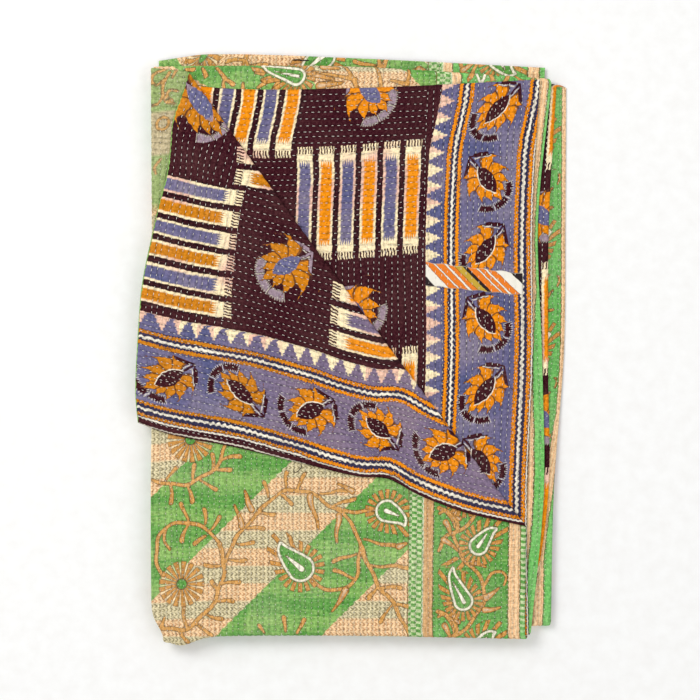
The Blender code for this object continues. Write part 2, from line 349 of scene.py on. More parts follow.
class Slab:
    """A flat cloth in the making: blocks of grid for its face and back, joined by ladders."""

    def __init__(self):
        self.points = []
        self.quads = []
        self.triangles = []
        self.count = 0

    def block(self, across_places, along_places, lift):
        u, v = np.meshgrid(across_places, along_places, indexing="ij")
        self.points.append(np.stack([u, v, np.broadcast_to(lift(u, v), u.shape)], -1).reshape(-1, 3))
        index = self.count + np.arange(u.size).reshape(u.shape)
        self.quads.append(grid_faces(*u.shape, first=self.count))
        self.count += u.size
        return index

    def join(self, first, first_places, second, second_places):
        if len(first) < len(second):
            first, first_places, second, second_places = second, second_places, first, first_places
        self.triangles.append(ladder(first, first_places, second, second_places))

    def mesh(self, name):
        made = bpy.data.meshes.new(name)
        faces = np.concatenate(self.quads).tolist() + np.concatenate(self.triangles).tolist()
        made.from_pydata(np.concatenate(self.points), [], faces)
        return made


def from_edge(u, v):
    """Distance to the nearest edge of the flat quilt."""
    return np.minimum(np.minimum(u, WIDTH - u), np.minimum(v, LENGTH - v))


def flat_cloth(side, blocks, back_u, back_v):
    """A flat cloth as a closed slab: a face of blocks of (places across, places along), and a coarse back."""
    slab = Slab()
    face, back = side * HALF_QUILT, side * GAP / 2

    def face_lift(u, v):
        inwards = np.clip(from_edge(u, v) / RIM, 0, 1)
        return back + (face - back) * np.sqrt(np.clip(1 - (1 - inwards) ** 2, 0, 1))

    made = [slab.block(*block, face_lift) for block in blocks]
    for (places, _), index, (next_places, _), next_index in zip(blocks, made, blocks[1:], made[1:]):
        slab.join(index[:, -1], places, next_index[:, 0], next_places)
    behind = slab.block(back_u, back_v, lambda u, v: np.full(u.shape, back))
    every_v = np.concatenate([along_places for _, along_places in blocks])
    for hem in (0, -1):
        slab.join(np.concatenate([index[hem] for index in made]), every_v, behind[hem], back_v)
        slab.join(made[hem][:, hem], blocks[hem][0], behind[:, hem], back_u)
    return slab


def row_wander(row, run):
    """How far a row of stitches strays from its line."""
    return 0.0007 * np.sin(run / 0.031 + 1.7 * row) + 0.0006 * np.sin(run / 0.083 + 0.9 * row)


def quilting_places(u, v, near_u, near_v):
    """Rows across and metres along the running stitch, in the row and direction of a place near by.

    The stitch runs along the quilt, but goes across it over the barred squares.
    """
    from_hem = np.minimum(near_u, WIDTH - near_u)
    squares_end = np.where(near_u < WIDTH / 2, UPPER_SQUARES, LOWER_SQUARES)
    crosswise = (from_hem > BORDER) & (near_v < squares_end)
    line, run = np.where(crosswise, v, u), np.where(crosswise, u, v)
    row = np.round(np.where(crosswise, near_v, near_u) / ROW)
    return (line - row_wander(row, run)) / ROW, run


def relief(u, v):
    """How far the quilting draws the face in: a trough along each row of stitches, and soft puffs between."""
    row, _ = quilting_places(u, v, u, v)
    trough = 0.5 + 0.5 * np.cos(2 * math.pi * row)
    return PUFF - TROUGH * trough**2


def print_lengths():
    """Cloth lengths on a regular grid: from the nearer long hem, from the first end, and from the front fold.

    Each is the sum of the short steps between neighbouring points of the folded quilt's middle.
    """
    u = np.linspace(0.0, WIDTH, 300)
    v = np.linspace(0.0, LENGTH, 900)
    place = place_of(u[:, None], v[None, :], 0.0)
    step_u = np.linalg.norm(np.diff(place, axis=0), axis=-1)
    step_v = np.linalg.norm(np.diff(place, axis=1), axis=-1)
    from_upper = np.concatenate([np.zeros((1, len(v))), np.cumsum(step_u, axis=0)])
    from_lower = from_upper[-1:] - from_upper
    from_hem = np.where((u < WIDTH / 2)[:, None], from_upper, from_lower)
    from_end = np.concatenate([np.zeros((len(u), 1)), np.cumsum(step_v, axis=1)], axis=1)
    front = np.array([np.interp(PANEL_LENGTH, v, row) for row in from_end])
    fold_y = place_of(u, PANEL_LENGTH, 0.0)[:, 1]
    return u, v, from_hem, from_end, (GREEN_PRINT_FRONT + fold_y + front)[:, None] - from_end


def looked_up(table, u_places, v_places, u, v):
    """A value at (u, v) from a regular table, weighing its four neighbours."""
    i = np.clip(u / u_places[-1] * (len(u_places) - 1), 0, len(u_places) - 1.001)
    j = np.clip(v / v_places[-1] * (len(v_places) - 1), 0, len(v_places) - 1.001)
    i0, j0 = i.astype(int), j.astype(int)
    a, b = i - i0, j - j0
    near, far = (table[i0 + step, j0] * (1 - b) + table[i0 + step, j0 + 1] * b for step in (0, 1))
    return near * (1 - a) + far * a


GREEN_PRINT_FRONT = 0.3594  # the line that the green print's places are counted from lies this far forward

PRINT_MOVES = {
    # Side, lower half: panels along the quilt, and millimetres that the print moves from the hem and along it
    (1, False): ((0.0, 1.0, 2.0, 2.6, 2.86, 4.0), (0, 0, 16, 16, -4, -4), (0, 0, 0, 0, 0, 0)),
    (1, True): ((1.0, 1.48, 1.62, 1.97, 3.1, 3.9), (-6, -6, 3, 3, 0, 0), (0, 70, 90, 129, 20, -105)),
    (-1, False): ((0.0, 0.95, 1.05, 4.0), (0, 0, 212, 212), (0, 0, 0, 0)),
    (-1, True): ((0.0, 4.0), (0, 0), (0, 0)),
}
LEAN = 11.0  # how far the plum print leans towards the hem at the end of the lower half
LEAN_LENGTH = 0.10
# On the turned corner the print is drawn out: millimetres from the end, and how far the print moves there
TURNED_FROM_END = (0.0, 75.0, 155.0, 235.0, 265.0, 310.0, 400.0)
TURNED_ASIDE = (-7.5, -10.0, -10.5, -7.5, -4.5, -3.0, -3.0)
TURNED_AHEAD = (-8.0, -11.0, -13.5, -14.5, -15.5, -16.5, -12.0)


def print_moves(side, lower, v, from_hem):
    """How far the print lies from its regular place: millimetres from the hem, and along the cloth."""
    panels = v / (PANEL_LENGTH + END_ARC)
    upper_moves, lower_moves = (
        [np.interp(panels, PRINT_MOVES[side, half][0], moves) for moves in PRINT_MOVES[side, half][1:]]
        for half in (False, True)
    )
    aside, ahead = np.where(lower, lower_moves, upper_moves)
    aside = aside * (1 - smoothstep((from_hem - 150) / 150))
    if side > 0:
        return aside, ahead
    from_end = v * 1000
    turned, on_lower = (half & (v < PANEL_LENGTH) for half in (~lower, lower))
    drawn = -3.5 * smoothstep((from_hem - 185) / 30)
    sheared = 0.117 * (np.clip(from_hem, 140, 300) - 218) - 4.5 - 0.06 * (np.clip(from_end, 110, 300) - 110)
    sheared = sheared * smoothstep((from_hem - 141) / 5)
    turned_ahead = (np.interp(from_end, TURNED_FROM_END, TURNED_AHEAD) + sheared) * smoothstep(from_end / 30)
    slipped = (3.6 + 2.0 * smoothstep((from_hem - 200) / 120)) * smoothstep((from_end - 60) / 60)
    slipped = slipped * (1 - 0.5 * smoothstep((from_end - 220) / 80)) * smoothstep((from_hem - 136) / 10)
    lean = LEAN * (1 - smoothstep(v / LEAN_LENGTH))
    aside = np.where(turned, np.interp(from_end, TURNED_FROM_END, TURNED_ASIDE) + drawn, aside)
    aside = aside + np.where(on_lower, lean + slipped, 0.0)
    ahead = np.where(turned, turned_ahead, ahead)
    return aside, ahead - np.where(on_lower, 5.0 * smoothstep((from_hem - 140) / 120), 0.0)


def read(items, attribute, kind, width=1):
    """One attribute of all the items in a mesh's list, as an array."""
    values = np.empty(len(items) * width, kind)
    items.foreach_get(attribute, values)
    return values


def set_uv(mesh, name, pairs):
    mesh.uv_layers.new(name=name).data.foreach_set("uv", pairs.astype(np.float32).ravel())


def set_field(mesh, name, kind, attribute, values):
    data = mesh.attributes.new(name, kind, "POINT").data
    data.foreach_set(attribute, values.astype(np.float32).ravel())


def cut_at_bend(mesh):
    """The flat cloth cut along the bend of the turned corner, so that it can turn there."""
    bm = bmesh.new()
    bm.from_mesh(mesh)
    end, side = TURN_END * PANEL_WIDTH, TURN_SIDE * PANEL_LENGTH
    for share in np.linspace(0.0, BEND, TURN_CUTS + 1):
        geometry = list(bm.verts) + list(bm.edges) + list(bm.faces)
        bmesh.ops.bisect_plane(
            bm, geom=geometry, plane_co=(end * (1 - share), 0, 0), plane_no=(side, end, 0), dist=1e-6
        )
    bmesh.ops.triangulate(bm, faces=[face for face in bm.faces if len(face.verts) > 4])
    bmesh.ops.recalc_face_normals(bm, faces=bm.faces)
    bm.to_mesh(mesh)
    bm.free()


def add_to_scene(name, mesh, material):
    mesh.materials.append(material)
    mesh.shade_smooth()
    obj = bpy.data.objects.new(name, mesh)
    bpy.context.scene.collection.objects.link(obj)
    return obj


def folded_cloth(name, slab, side, drawn, material):
    """The flat cloth folded, and given its print and quilting places."""
    mesh = slab.mesh(name)
    cut_at_bend(mesh)
    u, v, lift = read(mesh.vertices, "co", np.float32, 3).reshape(-1, 3).astype(float).T
    on_face = np.abs(lift) > HALF_QUILT * 0.5
    drawn_in = relief(u, v) * smoothstep(from_edge(u, v) / 0.006)
    place = place_of(u, v, lift + np.where(on_face, side * drawn_in, 0.0))
    place[:, 2] = np.maximum(place[:, 2], 0.0)
    mesh.vertices.foreach_set("co", place.astype(np.float32).ravel())

    u_places, v_places, from_hem, from_end, from_front = print_lengths()
    hem = looked_up(from_hem, u_places, v_places, u, v) * 1000
    run = looked_up(from_front if side > 0 else from_end, u_places, v_places, u, v) * 1000
    lower = u > WIDTH / 2
    aside, ahead = print_moves(side, lower, v, hem)
    hem, run = hem + aside, run + ahead
    corners = read(mesh.loops, "vertex_index", np.int32)
    set_uv(mesh, "print", np.stack([hem, run], -1)[corners])
    starts, totals = (read(mesh.polygons, field, np.int32) for field in ("loop_start", "loop_total"))
    middles = (np.repeat(np.add.reduceat(flat[corners], starts) / totals, totals) for flat in (u, v))
    row, along_row = quilting_places(u[corners], v[corners], *middles)
    set_uv(mesh, "quilting", np.stack([row, along_row / STITCH_REPEAT], -1))
    set_field(mesh, "lower_half", "FLOAT", "value", lower)
    fields, about = drawn(hem, run, lower)
    for field, values in fields.items():
        set_field(mesh, field, "FLOAT", "value", values)
    set_field(mesh, "about", "FLOAT_VECTOR", "vector", about)
    return add_to_scene(name, mesh, material)


# ---- Drawn motifs ----
# In millimetres of cloth: from the long hem, and from the front fold (green) or the end (plum)
FAR = 60.0
REPEAT, HALF_REPEAT = 258.0, 129.0  # of both prints along the cloth
STEM = 1.9
# Strokes: half width at each end, and the places that a stem goes through
STEMS = (
    (STEM, STEM, ((465, 198), (441, 190.5), (424, 190.5), (407, 198), (393, 207), (384, 221), (376, 242))),
    (STEM, STEM, ((382, 116), (391.5, 129), (407, 138), (424, 143), (441, 141), (454.6, 133), (460.4, 120),
                  (461, 104), (458, 89), (452.6, 76))),
    (1.6, 1.2, ((449, 135), (451, 120), (445, 109))),
    (2.2, 2.2, ((458, 12.5), (430, 9), (411, 18), (391.5, 39), (380, 66), (376, 85), (379, 104), (384, 116))),
    (STEM, STEM, ((374, 91), (368.5, 110), (359, 127.5), (342, 146.5), (324.5, 165.6), (305, 181),
                  (280.5, 182), (257.5, 173), (238, 160), (206, 156), (186, 160))),
    (STEM, STEM, ((238, 160), (219, 143), (208, 120), (208, 95), (212, 74), (225, 60), (242.5, 58.5),
                  (261, 66), (268, 72))),
    (2.2, 2.2, ((206, 112), (197, 91), (183, 64), (166, 43), (145, 5))),
    (1.9, 1.9, ((424, 14), (427, 42))),
)
# Straight strokes: where they start and end
TWIGS = (
    (416, 196, 417, 214.5), (393, 207, 393, 228), (384, 221, 359, 226), (389.5, 210, 371, 207),
    (407, 194, 389, 185), (424, 190, 416, 169), (445, 190, 442.5, 167), (449, 198, 439, 210),
    (422, 145, 430, 166), (401, 141, 401, 158), (391.5, 135, 384, 150), (422, 141, 430, 120),
    (399, 125.5, 414, 116), (322.5, 175, 327.5, 192.5), (300.6, 185, 300, 204), (288, 184, 277.5, 203),
    (334, 155, 315, 153), (347.5, 136, 327.5, 135), (361, 116, 341, 117), (369, 95, 349, 96),
    (307.5, 177.5, 292, 166), (259, 179, 219, 183), (242.5, 162, 215, 173), (211.6, 104, 238.4, 94),
    (213.5, 73, 239, 82.5), (376, 89, 399, 89), (387.5, 45, 366, 44), (378, 66, 357, 69),
    (382, 56.6, 391.5, 70), (397, 28, 378, 22), (411, 14.5, 393, 3), (449, 26, 455, 15),
    (435, 9, 424, -5), (300, 6, 300, 23), (327, 6, 332, 13), (286, 6, 275, 21), (202, 121, 160, 112),
    (195, 89, 147, 87), (184, 62.5, 155, 61), (185, 60, 197, 47), (166, 41, 145, 39), (168, 37.5, 180, 20),
)
LEAVES = (
    (342, 158, 353, 183), (355, 139, 363, 164), (271, 175, 259, 135), (234.5, 150, 236.5, 117),
    (223, 59, 240, 32), (219, 183, 236, 190), (160, 112, 150, 118),
)
BORDER_STEMS = (
    (2.0, 2.0, ((109, 162), (90, 150), (86, 135), (90, 124), (78, 99), (69, 89), (53, 66), (52.5, 43),
                (67, 18), (86, 3), (102, -6), (109, -20))),
    (1.6, 1.2, ((50, 66), (44, 80), (32.5, 81), (25, 74), (26, 64))),
    (1.6, 1.2, ((107, 26), (101, 28), (94, 19), (90, 7))),
)
BORDER_LEAVES = (
    (101, 142.5, 94, 127.5), (103, 121, 86, 108), (50.5, 49, 32.5, 60.5), (50.5, 34, 32, 36),
    (84, 20, 100, 48), (66, 92, 50, 88),
)
# Paisleys: middle of the body, its radius, the tip it tapers to, and how far the tip curls aside
PAISLEYS = ((281, 86, 16, 311, 111, 5), (174, 157, 13, 149, 147, 5))
BORDER_PAISLEYS = ((59, 114, 11, 43, 138, 4), (77.5, 45, 11, 98, 81.5, 5))
DAISIES = ((429, 66), (421, 246))
# Near the first end the branches give way to curls, and on the lower half's back fold to other leaves
CURLS_FROM = 540.0
CURLS = (
    (1.5, 1.2, ((474, 709), (487, 705), (490, 696), (483, 690.5), (476, 696))),
    (1.7, 1.2, ((468, 705), (474, 694), (476, 681), (470, 668), (458.5, 664.5))),
    (1.5, 1.2, ((457, 681), (466.5, 683), (470, 675.6), (463, 670))),
    (1.5, 1.2, ((491, 664.5), (479.5, 668), (474, 681))),
    (1.5, 1.5, ((472, 650), (465.5, 646), (465.5, 638), (472, 634), (478.5, 638), (478.5, 646), (472, 650))),
    (1.5, 1.2, ((459, 709), (464.5, 698))),
    (1.4, 1.2, ((468, 598), (474, 588), (471, 580))),
    (1.4, 1.2, ((485, 583), (483, 564), (477, 556))),
)
TOP_STRIP = (-602.0, -540.0)
TOP_TWIGS = (
    (458, -596, 448, -590), (437, -585, 432, -571), (419, -578, 408, -562), (408, -562, 397, -555),
    (410, -558, 408, -550), (385, -556, 384, -548), (371, -569, 361, -567), (366, -551, 356, -557),
    (362, -559, 352, -562), (347, -549, 341, -556), (437, -562, 441, -550), (300, -571, 246, -560),
    (262, -583, 243, -551), (222, -584, 214, -552), (203, -560, 186, -556), (181, -575, 182, -556),
)
TOP_LEAVES = ((298, -566, 272, -560), (290, -553, 262, -556), (286, -577, 266, -575))
TOP_PAISLEYS = ((319, -564, 10, 362, -574, -3),)
DAISY_HEART = 6.5
UNEVEN_LINE = 5.5  # how slowly the stems and leaves waver

# Sunflowers: middle, the way the stalk points in turns, the side of its long petals, how far it is drawn out
BORDER_FLOWER_FIRST = 34.0
BORDER_FLOWER_STEP = 88.0
BORDER_FLOWER_LINE = 59.0
BORDER_FLOWER_LEAN = 0.099
FIELD_FLOWERS_LOWER = ((223, 3, -0.125, -1, 1.0), (226, 273, -0.125, 1, 1.0), (390, 138, -0.378, 1, 1.0))
FIELD_FLOWERS_UPPER = ((222, 152, 0.131, -1, 1.0), (399, 23, -0.132, 1, 1.35), (222, 414, 0.122, -1, 1.0))
SUNFLOWER_PETALS = 10
# Strokes of a sunflower's stalk, its two leaves and their veins: start, end and half width
STALK = (
    ((17.0, 0), (32.5, -1.5), 1.1), ((33, -1), (19, 20.5), 0.9), ((30.5, 4), (24.5, 15), 2.2),
    ((33, -1.5), (17, -19), 1.0), ((27.5, -5.5), (20, -13.5), 1.9),
)
STALK_VEINS = (((27.6, 1.5), (20, 18), 0.55), ((18, -2.4), (28, -3.4), 0.45))

# The plum side's border lines, and the pitch of its teeth, of its barred squares across the cloth and of bars
ORANGE_LINES = ((3.4, 7.2), (18.6, 22.8), (92.4, 96.6), (106.4, 110.8))
WHITE_LINES = (13.3, 101.5)
TOOTH, SQUARE, BAR = 21.3, 162.0, 27.25


def stroke_distance(points, strokes, repeat):
    """Distance to the nearest of these strokes, negative inside one; all of them repeat along the cloth.

    A stroke is its half width at each end, which changes evenly, and the places that its curve goes through.
    """
    nearest = np.full(len(points), FAR)
    for start_width, end_width, path in strokes:
        line = path = np.array(path, float)
        if len(path) > 2:
            fine = np.linspace(0, len(path) - 1, 3 * (len(path) - 1) + 1)
            line = np.stack([along(np.arange(len(path)), values, fine) for values in path.T], -1)
        widths = np.linspace(start_width, end_width, len(line))
        for start, end, near, far in zip(line, line[1:], widths, widths[1:]):
            run = end - start
            for shift in {-repeat, 0.0, repeat}:
                offset = np.array([0.0, shift])
                reach = FAR / 2 + np.linalg.norm(run)
                close = np.abs(points - (start + end) / 2 - offset).max(axis=1) < reach
                if close.any():
                    gap = points[close] - start - offset
                    share = np.clip(gap @ run / (run @ run), 0.0, 1.0)
                    away = np.linalg.norm(gap - share[:, None] * run, axis=1) - (near + (far - near) * share)
                    nearest[close] = np.minimum(nearest[close], away)
    return nearest


def straight(marks, start_width, end_width):
    return [(start_width, end_width, (mark[:2], mark[2:])) for mark in marks]


def paisley_strokes(paisleys):
    """Each paisley as a stroke that narrows from its body to its curled tip, and the slim drop inside it."""
    outsides, drops = [], []
    for x, y, radius, tip_x, tip_y, curl in paisleys:
        body, tip = np.array([x, y], float), np.array([tip_x, tip_y], float)
        run = tip - body
        aside = np.array([-run[1], run[0]]) / np.linalg.norm(run) * curl
        bends = (0, 0), (0.45, 0.2), (0.8, 0.6), (1, 1.6)
        path = [body + run * share + aside * bent for share, bent in bends]
        outsides.append((radius, 0.8, path))
        drops.append((radius * 0.2, 0.6, (body - run * 0.05, body + run * 0.62)))
    return outsides, drops


def nearest_of(points, centres, repeat):
    """Offset from each point's nearest centre, its distance, and that centre's number."""
    every = np.concatenate([np.array(centres, float) + [0.0, shift] for shift in (-repeat, 0.0, repeat)])
    gaps = points[:, None, :] - every[None, :, :]
    distance = np.linalg.norm(gaps, axis=-1)
    which = distance.argmin(axis=1)
    here = np.arange(len(points))
    return gaps[here, which], distance[here, which], which % len(centres)


def green_fields(hem, run, lower):
    """The green print's drawn motifs: distances to stems, leaves and paisleys, and places about flowers."""
    fields = {name: np.full(len(hem), FAR) for name in ("stem", "leaf", "paisley", "daisy")}
    about = np.full((len(hem), 3), FAR)
    curled = ~lower & (run > CURLS_FROM)
    top = lower & (run > TOP_STRIP[0]) & (run < TOP_STRIP[1]) & (hem > 170)
    border = (hem < 130) & ~curled & ~top
    branched = ~(border | curled | top)
    places = np.stack([hem, run], -1)
    branches = STEMS + tuple(straight(TWIGS, 1.1, 2.5))
    for here, repeat, uneven, stems, leaves, paisleys, daisies in (
        (border, HALF_REPEAT, 1.1, BORDER_STEMS, BORDER_LEAVES, BORDER_PAISLEYS, ()),
        (branched, REPEAT, 1.1, branches, LEAVES, PAISLEYS, DAISIES),
        (top, 0.0, 0.0, straight(TOP_TWIGS, 1.3, 2.3), TOP_LEAVES, TOP_PAISLEYS, ()),
        (curled, 0.0, 0.0, CURLS, (), (), ()),
    ):
        points = places[here]
        if not len(points):
            continue
        if repeat:
            points[:, 1] %= repeat
        drawn = points + uneven * np.sin(points[:, ::-1] / UNEVEN_LINE)
        outsides, drops = paisley_strokes(paisleys)
        fields["stem"][here] = stroke_distance(drawn, stems, repeat)
        fields["leaf"][here] = stroke_distance(drawn, straight(leaves, 3.6, 1.2), repeat)
        fields["paisley"][here] = stroke_distance(points, outsides, repeat)
        if daisies:
            fields["daisy"][here] = nearest_of(points, daisies, repeat)[1] - DAISY_HEART
        if paisleys:
            centres = [paisley[:2] for paisley in paisleys] + list(daisies)
            about[here, :2] = nearest_of(points, centres, repeat)[0]
            about[here, 2] = stroke_distance(points, drops, repeat)
    fields["daisy"][~lower & (run < 20)] = FAR
    return fields, about


def plum_fields(hem, run, lower):
    """The nearest sunflower's own frame: along its stalk and across it, and how far its middle is."""
    about = np.full((len(hem), 3), FAR)
    for half, field, turned in ((lower, FIELD_FLOWERS_LOWER, -0.25), (~lower, FIELD_FLOWERS_UPPER, 0.25)):
        points = np.stack([hem, run], -1)[half]
        if not len(points):
            continue
        flowers = [
            (BORDER_FLOWER_LINE, BORDER_FLOWER_FIRST + BORDER_FLOWER_STEP * number,
             turned - BORDER_FLOWER_LEAN * (-1) ** number, (-1) ** number, 1.0)
            for number in range(-4, 40)
        ]
        for line, ahead, *rest in field:
            flowers += [(line, ahead + 2 * REPEAT * number, *rest) for number in range(-1, 6)]
        flowers = np.array(flowers)
        gap, distance, which = nearest_of(points, flowers[:, :2], 0.0)
        turn, side, drawn_out = flowers[which, 2:].T
        angle = 2 * math.pi * turn
        across_stalk = (-gap[:, 0] * np.sin(angle) + gap[:, 1] * np.cos(angle)) * side
        along_stalk = (gap[:, 0] * np.cos(angle) + gap[:, 1] * np.sin(angle)) / drawn_out
        about[half] = np.stack([along_stalk, across_stalk, distance], -1)
    return {}, about


# ---- Materials ----
def ink(code):
    """A colour from its six hexadecimal digits, as the linear values that shaders use."""
    shares = [int(code[i : i + 2], 16) / 255 for i in (0, 2, 4)]
    return tuple(c / 12.92 if c <= 0.04045 else ((c + 0.055) / 1.055) ** 2.4 for c in shares)


def math_method(operation, swapped=False):
    """A method of Wire that adds a Math node for this operation."""

    def method(self, *others):
        return self.shader.maths(operation, *((*others, self) if swapped else (self, *others)))

    return method


class Wire:
    """A number, vector or colour in a material's node tree, so that shader maths reads as plain sums."""

    def __init__(self, shader, socket):
        self.shader, self.socket = shader, socket

    __add__ = __radd__ = math_method("ADD")
    __mul__ = __rmul__ = math_method("MULTIPLY")
    __sub__, __rsub__ = math_method("SUBTRACT"), math_method("SUBTRACT", swapped=True)
    __truediv__, __rtruediv__ = math_method("DIVIDE"), math_method("DIVIDE", swapped=True)
    __mod__, __abs__ = math_method("FLOORED_MODULO"), math_method("ABSOLUTE")
    floor, fraction, sign = math_method("FLOOR"), math_method("FRACT"), math_method("SIGN")

    def swing(self):
        """1 at whole numbers and 0 halfway between them, in straight lines."""
        return abs(self.fraction() * 2 - 1)

    def sine(self, pitch):
        return self.shader.maths("SINE", self * (2 * math.pi / pitch))

    def ramp(self, low, high):
        """0 at low and 1 at high, which may be the smaller of the two."""
        return self.shader.node("MapRange", {"Value": self, "From Min": low, "From Max": high})

    def inside(self, soft=0.35):
        """1 where this distance is negative, with a soft edge."""
        return self.ramp(soft, -soft)

    def band(self, low, high, soft=0.35):
        """1 between low and high."""
        return (abs(self - (low + high) / 2) - (high - low) / 2).inside(soft)

    def split(self):
        outputs = self.shader.node("SeparateXYZ", {0: self}).socket.node.outputs
        return tuple(Wire(self.shader, output) for output in outputs)

    def layers(self, *layers, within=None):
        """This colour with others laid over it in turn, each where its mask is 1 within a shared mask."""
        result = self
        for colour, mask in layers:
            result = self.shader.paint(result, colour, mask if within is None else mask * within)
        return result


class Shader:
    """One material's node tree. Masks run from 0 to 1, and prints are in millimetres of flat cloth."""

    def __init__(self, name):
        self.material = bpy.data.materials.new(name)
        self.material.use_nodes = True
        self.tree = self.material.node_tree
        self.tree.nodes.clear()

    def node(self, kind, inputs=(), output=0, **settings):
        """Adds a node, sets it, and feeds its inputs, which are given as {name or number: value or Wire}."""
        made = self.tree.nodes.new("ShaderNode" + kind)
        for key, value in settings.items():
            setattr(made, key, value)
        for key, value in dict(inputs).items():
            if isinstance(value, Wire):
                self.tree.links.new(value.socket, made.inputs[key])
            else:
                made.inputs[key].default_value = value
        return Wire(self, made.outputs[output]) if made.outputs else None

    def maths(self, operation, *values, clamp=False):
        return self.node("Math", enumerate(values), operation=operation, use_clamp=clamp)

    def least(self, first, *others):
        for other in others:
            first = self.maths("MINIMUM", first, other)
        return first

    def most(self, first, *others):
        for other in others:
            first = self.maths("MAXIMUM", first, other)
        return first

    def pair(self, x, y):
        return self.node("CombineXYZ", {0: x, 1: y})

    def length(self, x, y):
        return self.maths("SQRT", x * x + y * y)

    def angle(self, x, y):
        """The way from the origin to a place, in turns."""
        return self.maths("ARCTAN2", y, x) / (2 * math.pi)

    def stroke(self, x, y, start, end, half_width):
        """Distance to the edge of a straight stroke between two places."""
        run = (end[0] - start[0], end[1] - start[1])
        square = run[0] ** 2 + run[1] ** 2
        ahead = x * (run[0] / square) + y * (run[1] / square)
        behind = -(start[0] * run[0] + start[1] * run[1]) / square
        share = self.maths("ADD", ahead, behind, clamp=True)
        return self.length(x - start[0] - share * run[0], y - start[1] - share * run[1]) - half_width

    def value(self, name, output="Fac"):
        return self.node("Attribute", output=output, attribute_name=name)

    def noise(self, vector, scale, detail=2.0):
        inputs = {"Vector": vector, "Scale": scale, "Detail": detail}
        return self.node("TexNoise", inputs, noise_dimensions="2D")

    def streaks(self, x, y, detail=2.0):
        """Noise that is drawn out, from places already divided by its size each way."""
        return self.noise(self.pair(x, y), 1.0, detail)

    def grain(self, scale, detail):
        """Noise all through the object."""
        places = self.node("TexCoord", output="Object")
        return self.node("TexNoise", {"Vector": places, "Scale": scale, "Detail": detail})

    def paint(self, ground, colour, mask):
        """The ground with a colour laid over it where the mask is 1. A colour may be its six digits."""
        pair = (ink(c) if isinstance(c, str) else c for c in (ground, colour))
        a, b = (c if isinstance(c, Wire) else (*c, 1.0) for c in pair)
        return self.node("Mix", {0: mask, 6: a, 7: b}, output=2, data_type="RGBA")

    def finish(self, colour, roughness, height, sheen=0.0):
        """A cloth surface of this colour, with this height in millimetres as its bump."""
        normal = self.node("Bump", {"Height": height, "Distance": 0.001, "Strength": 1.0})
        inputs = {"Base Color": colour, "Roughness": roughness, "Normal": normal}
        inputs.update({"Sheen Weight": sheen, "Sheen Roughness": 0.6, "Specular IOR Level": 0.06})
        self.node("OutputMaterial", {0: self.node("BsdfPrincipled", inputs)})
        return self.material


def printed_places(shader):
    """Places on the print, from the hem and along the cloth, wandering a little as a hand-printed block."""
    places = shader.node("UVMap", uv_map="print")
    drift = shader.noise(places, 0.09) - 0.5
    fine = shader.noise(places, 0.6) - 0.5
    across, stitch, _ = shader.node("UVMap", uv_map="quilting").split()
    from_hem, run, _ = places.split()
    stray = fine + (across.sine(1) + stitch.sine(1)) * 0.25
    return places, from_hem + drift * 2.0 + stray, run - drift * 1.5 + stray


def worn_cloth(shader, colour, places, hold, fade_to, fading):
    """Finishes a print as worn cotton, drawn in by the running stitch as hard as hold says.

    The ink is streaked along the weave and faded in broad patches and in flecks. Painted shade darkens it
    along the rows of stitches, at the stitches and in the hollows of the puckers, leaving the puffs between
    paler. The height is weave, slubs, creases and wrinkles, and the puckers.
    """
    across, stitch, _ = shader.node("UVMap", uv_map="quilting").split()
    from_hem, run, _ = places.split()
    weave = from_hem.sine(0.8) * run.sine(0.8)
    slub = shader.streaks(from_hem * 0.25, run * 1.6)
    crease = shader.noise(places, 0.10, 4.0)
    wrinkle = shader.streaks(from_hem * 0.10, run * 0.34, 3.0)
    pucker = shader.noise(shader.pair(across * 1.6, stitch), 1.5)
    row = across.swing()
    pulled = row * row * row
    held = stitch.swing() * pulled
    height = weave * 0.03 + slub * 0.2 + crease * 1.9 + wrinkle * 1.1 + pucker * 1.5
    height = height - (pulled * 0.45 + held * 0.6) * hold
    # Painted shade: how much darker the colour is along the rows of stitches, at each stitch and in the
    # puckers' hollows
    painted_stitch_shade = (pulled * 0.5 + held * 0.5) * hold + pucker.ramp(0.55, 0.3) * 0.6

    mottle = shader.noise(places, 0.32, 3.0)
    wear = shader.noise(places, 0.016, 3.0).ramp(0.35, 0.75) * 0.5 + mottle.ramp(0.45, 0.75) * 0.5
    fleck = shader.noise(places, 1.3).ramp(0.62, 0.8)
    colour = colour.layers((fade_to, wear * fading), (fade_to, fleck * (fading * 2.0)))
    warp = shader.streaks(from_hem * 1.9, run * 0.09) - 0.5
    weft = shader.streaks(from_hem * 0.09, run * 1.9) - 0.5
    # The last term is the painted shade of the stitching; warp, weft and mottle are the ink's own uneven tone
    light = 1.19 + (warp + weft) * 0.95 + (mottle - 0.5) * 0.6 - painted_stitch_shade * 0.42
    colour = shader.node("VectorMath", {0: colour, 3: light}, operation="SCALE")
    return shader.finish(colour, 0.9, height)


def outlined(line, width, colour, distance):
    """A shape's outline and its colour, as two layers, from the distance to its edge."""
    return (line, (distance - width).inside()), (colour, distance.inside())


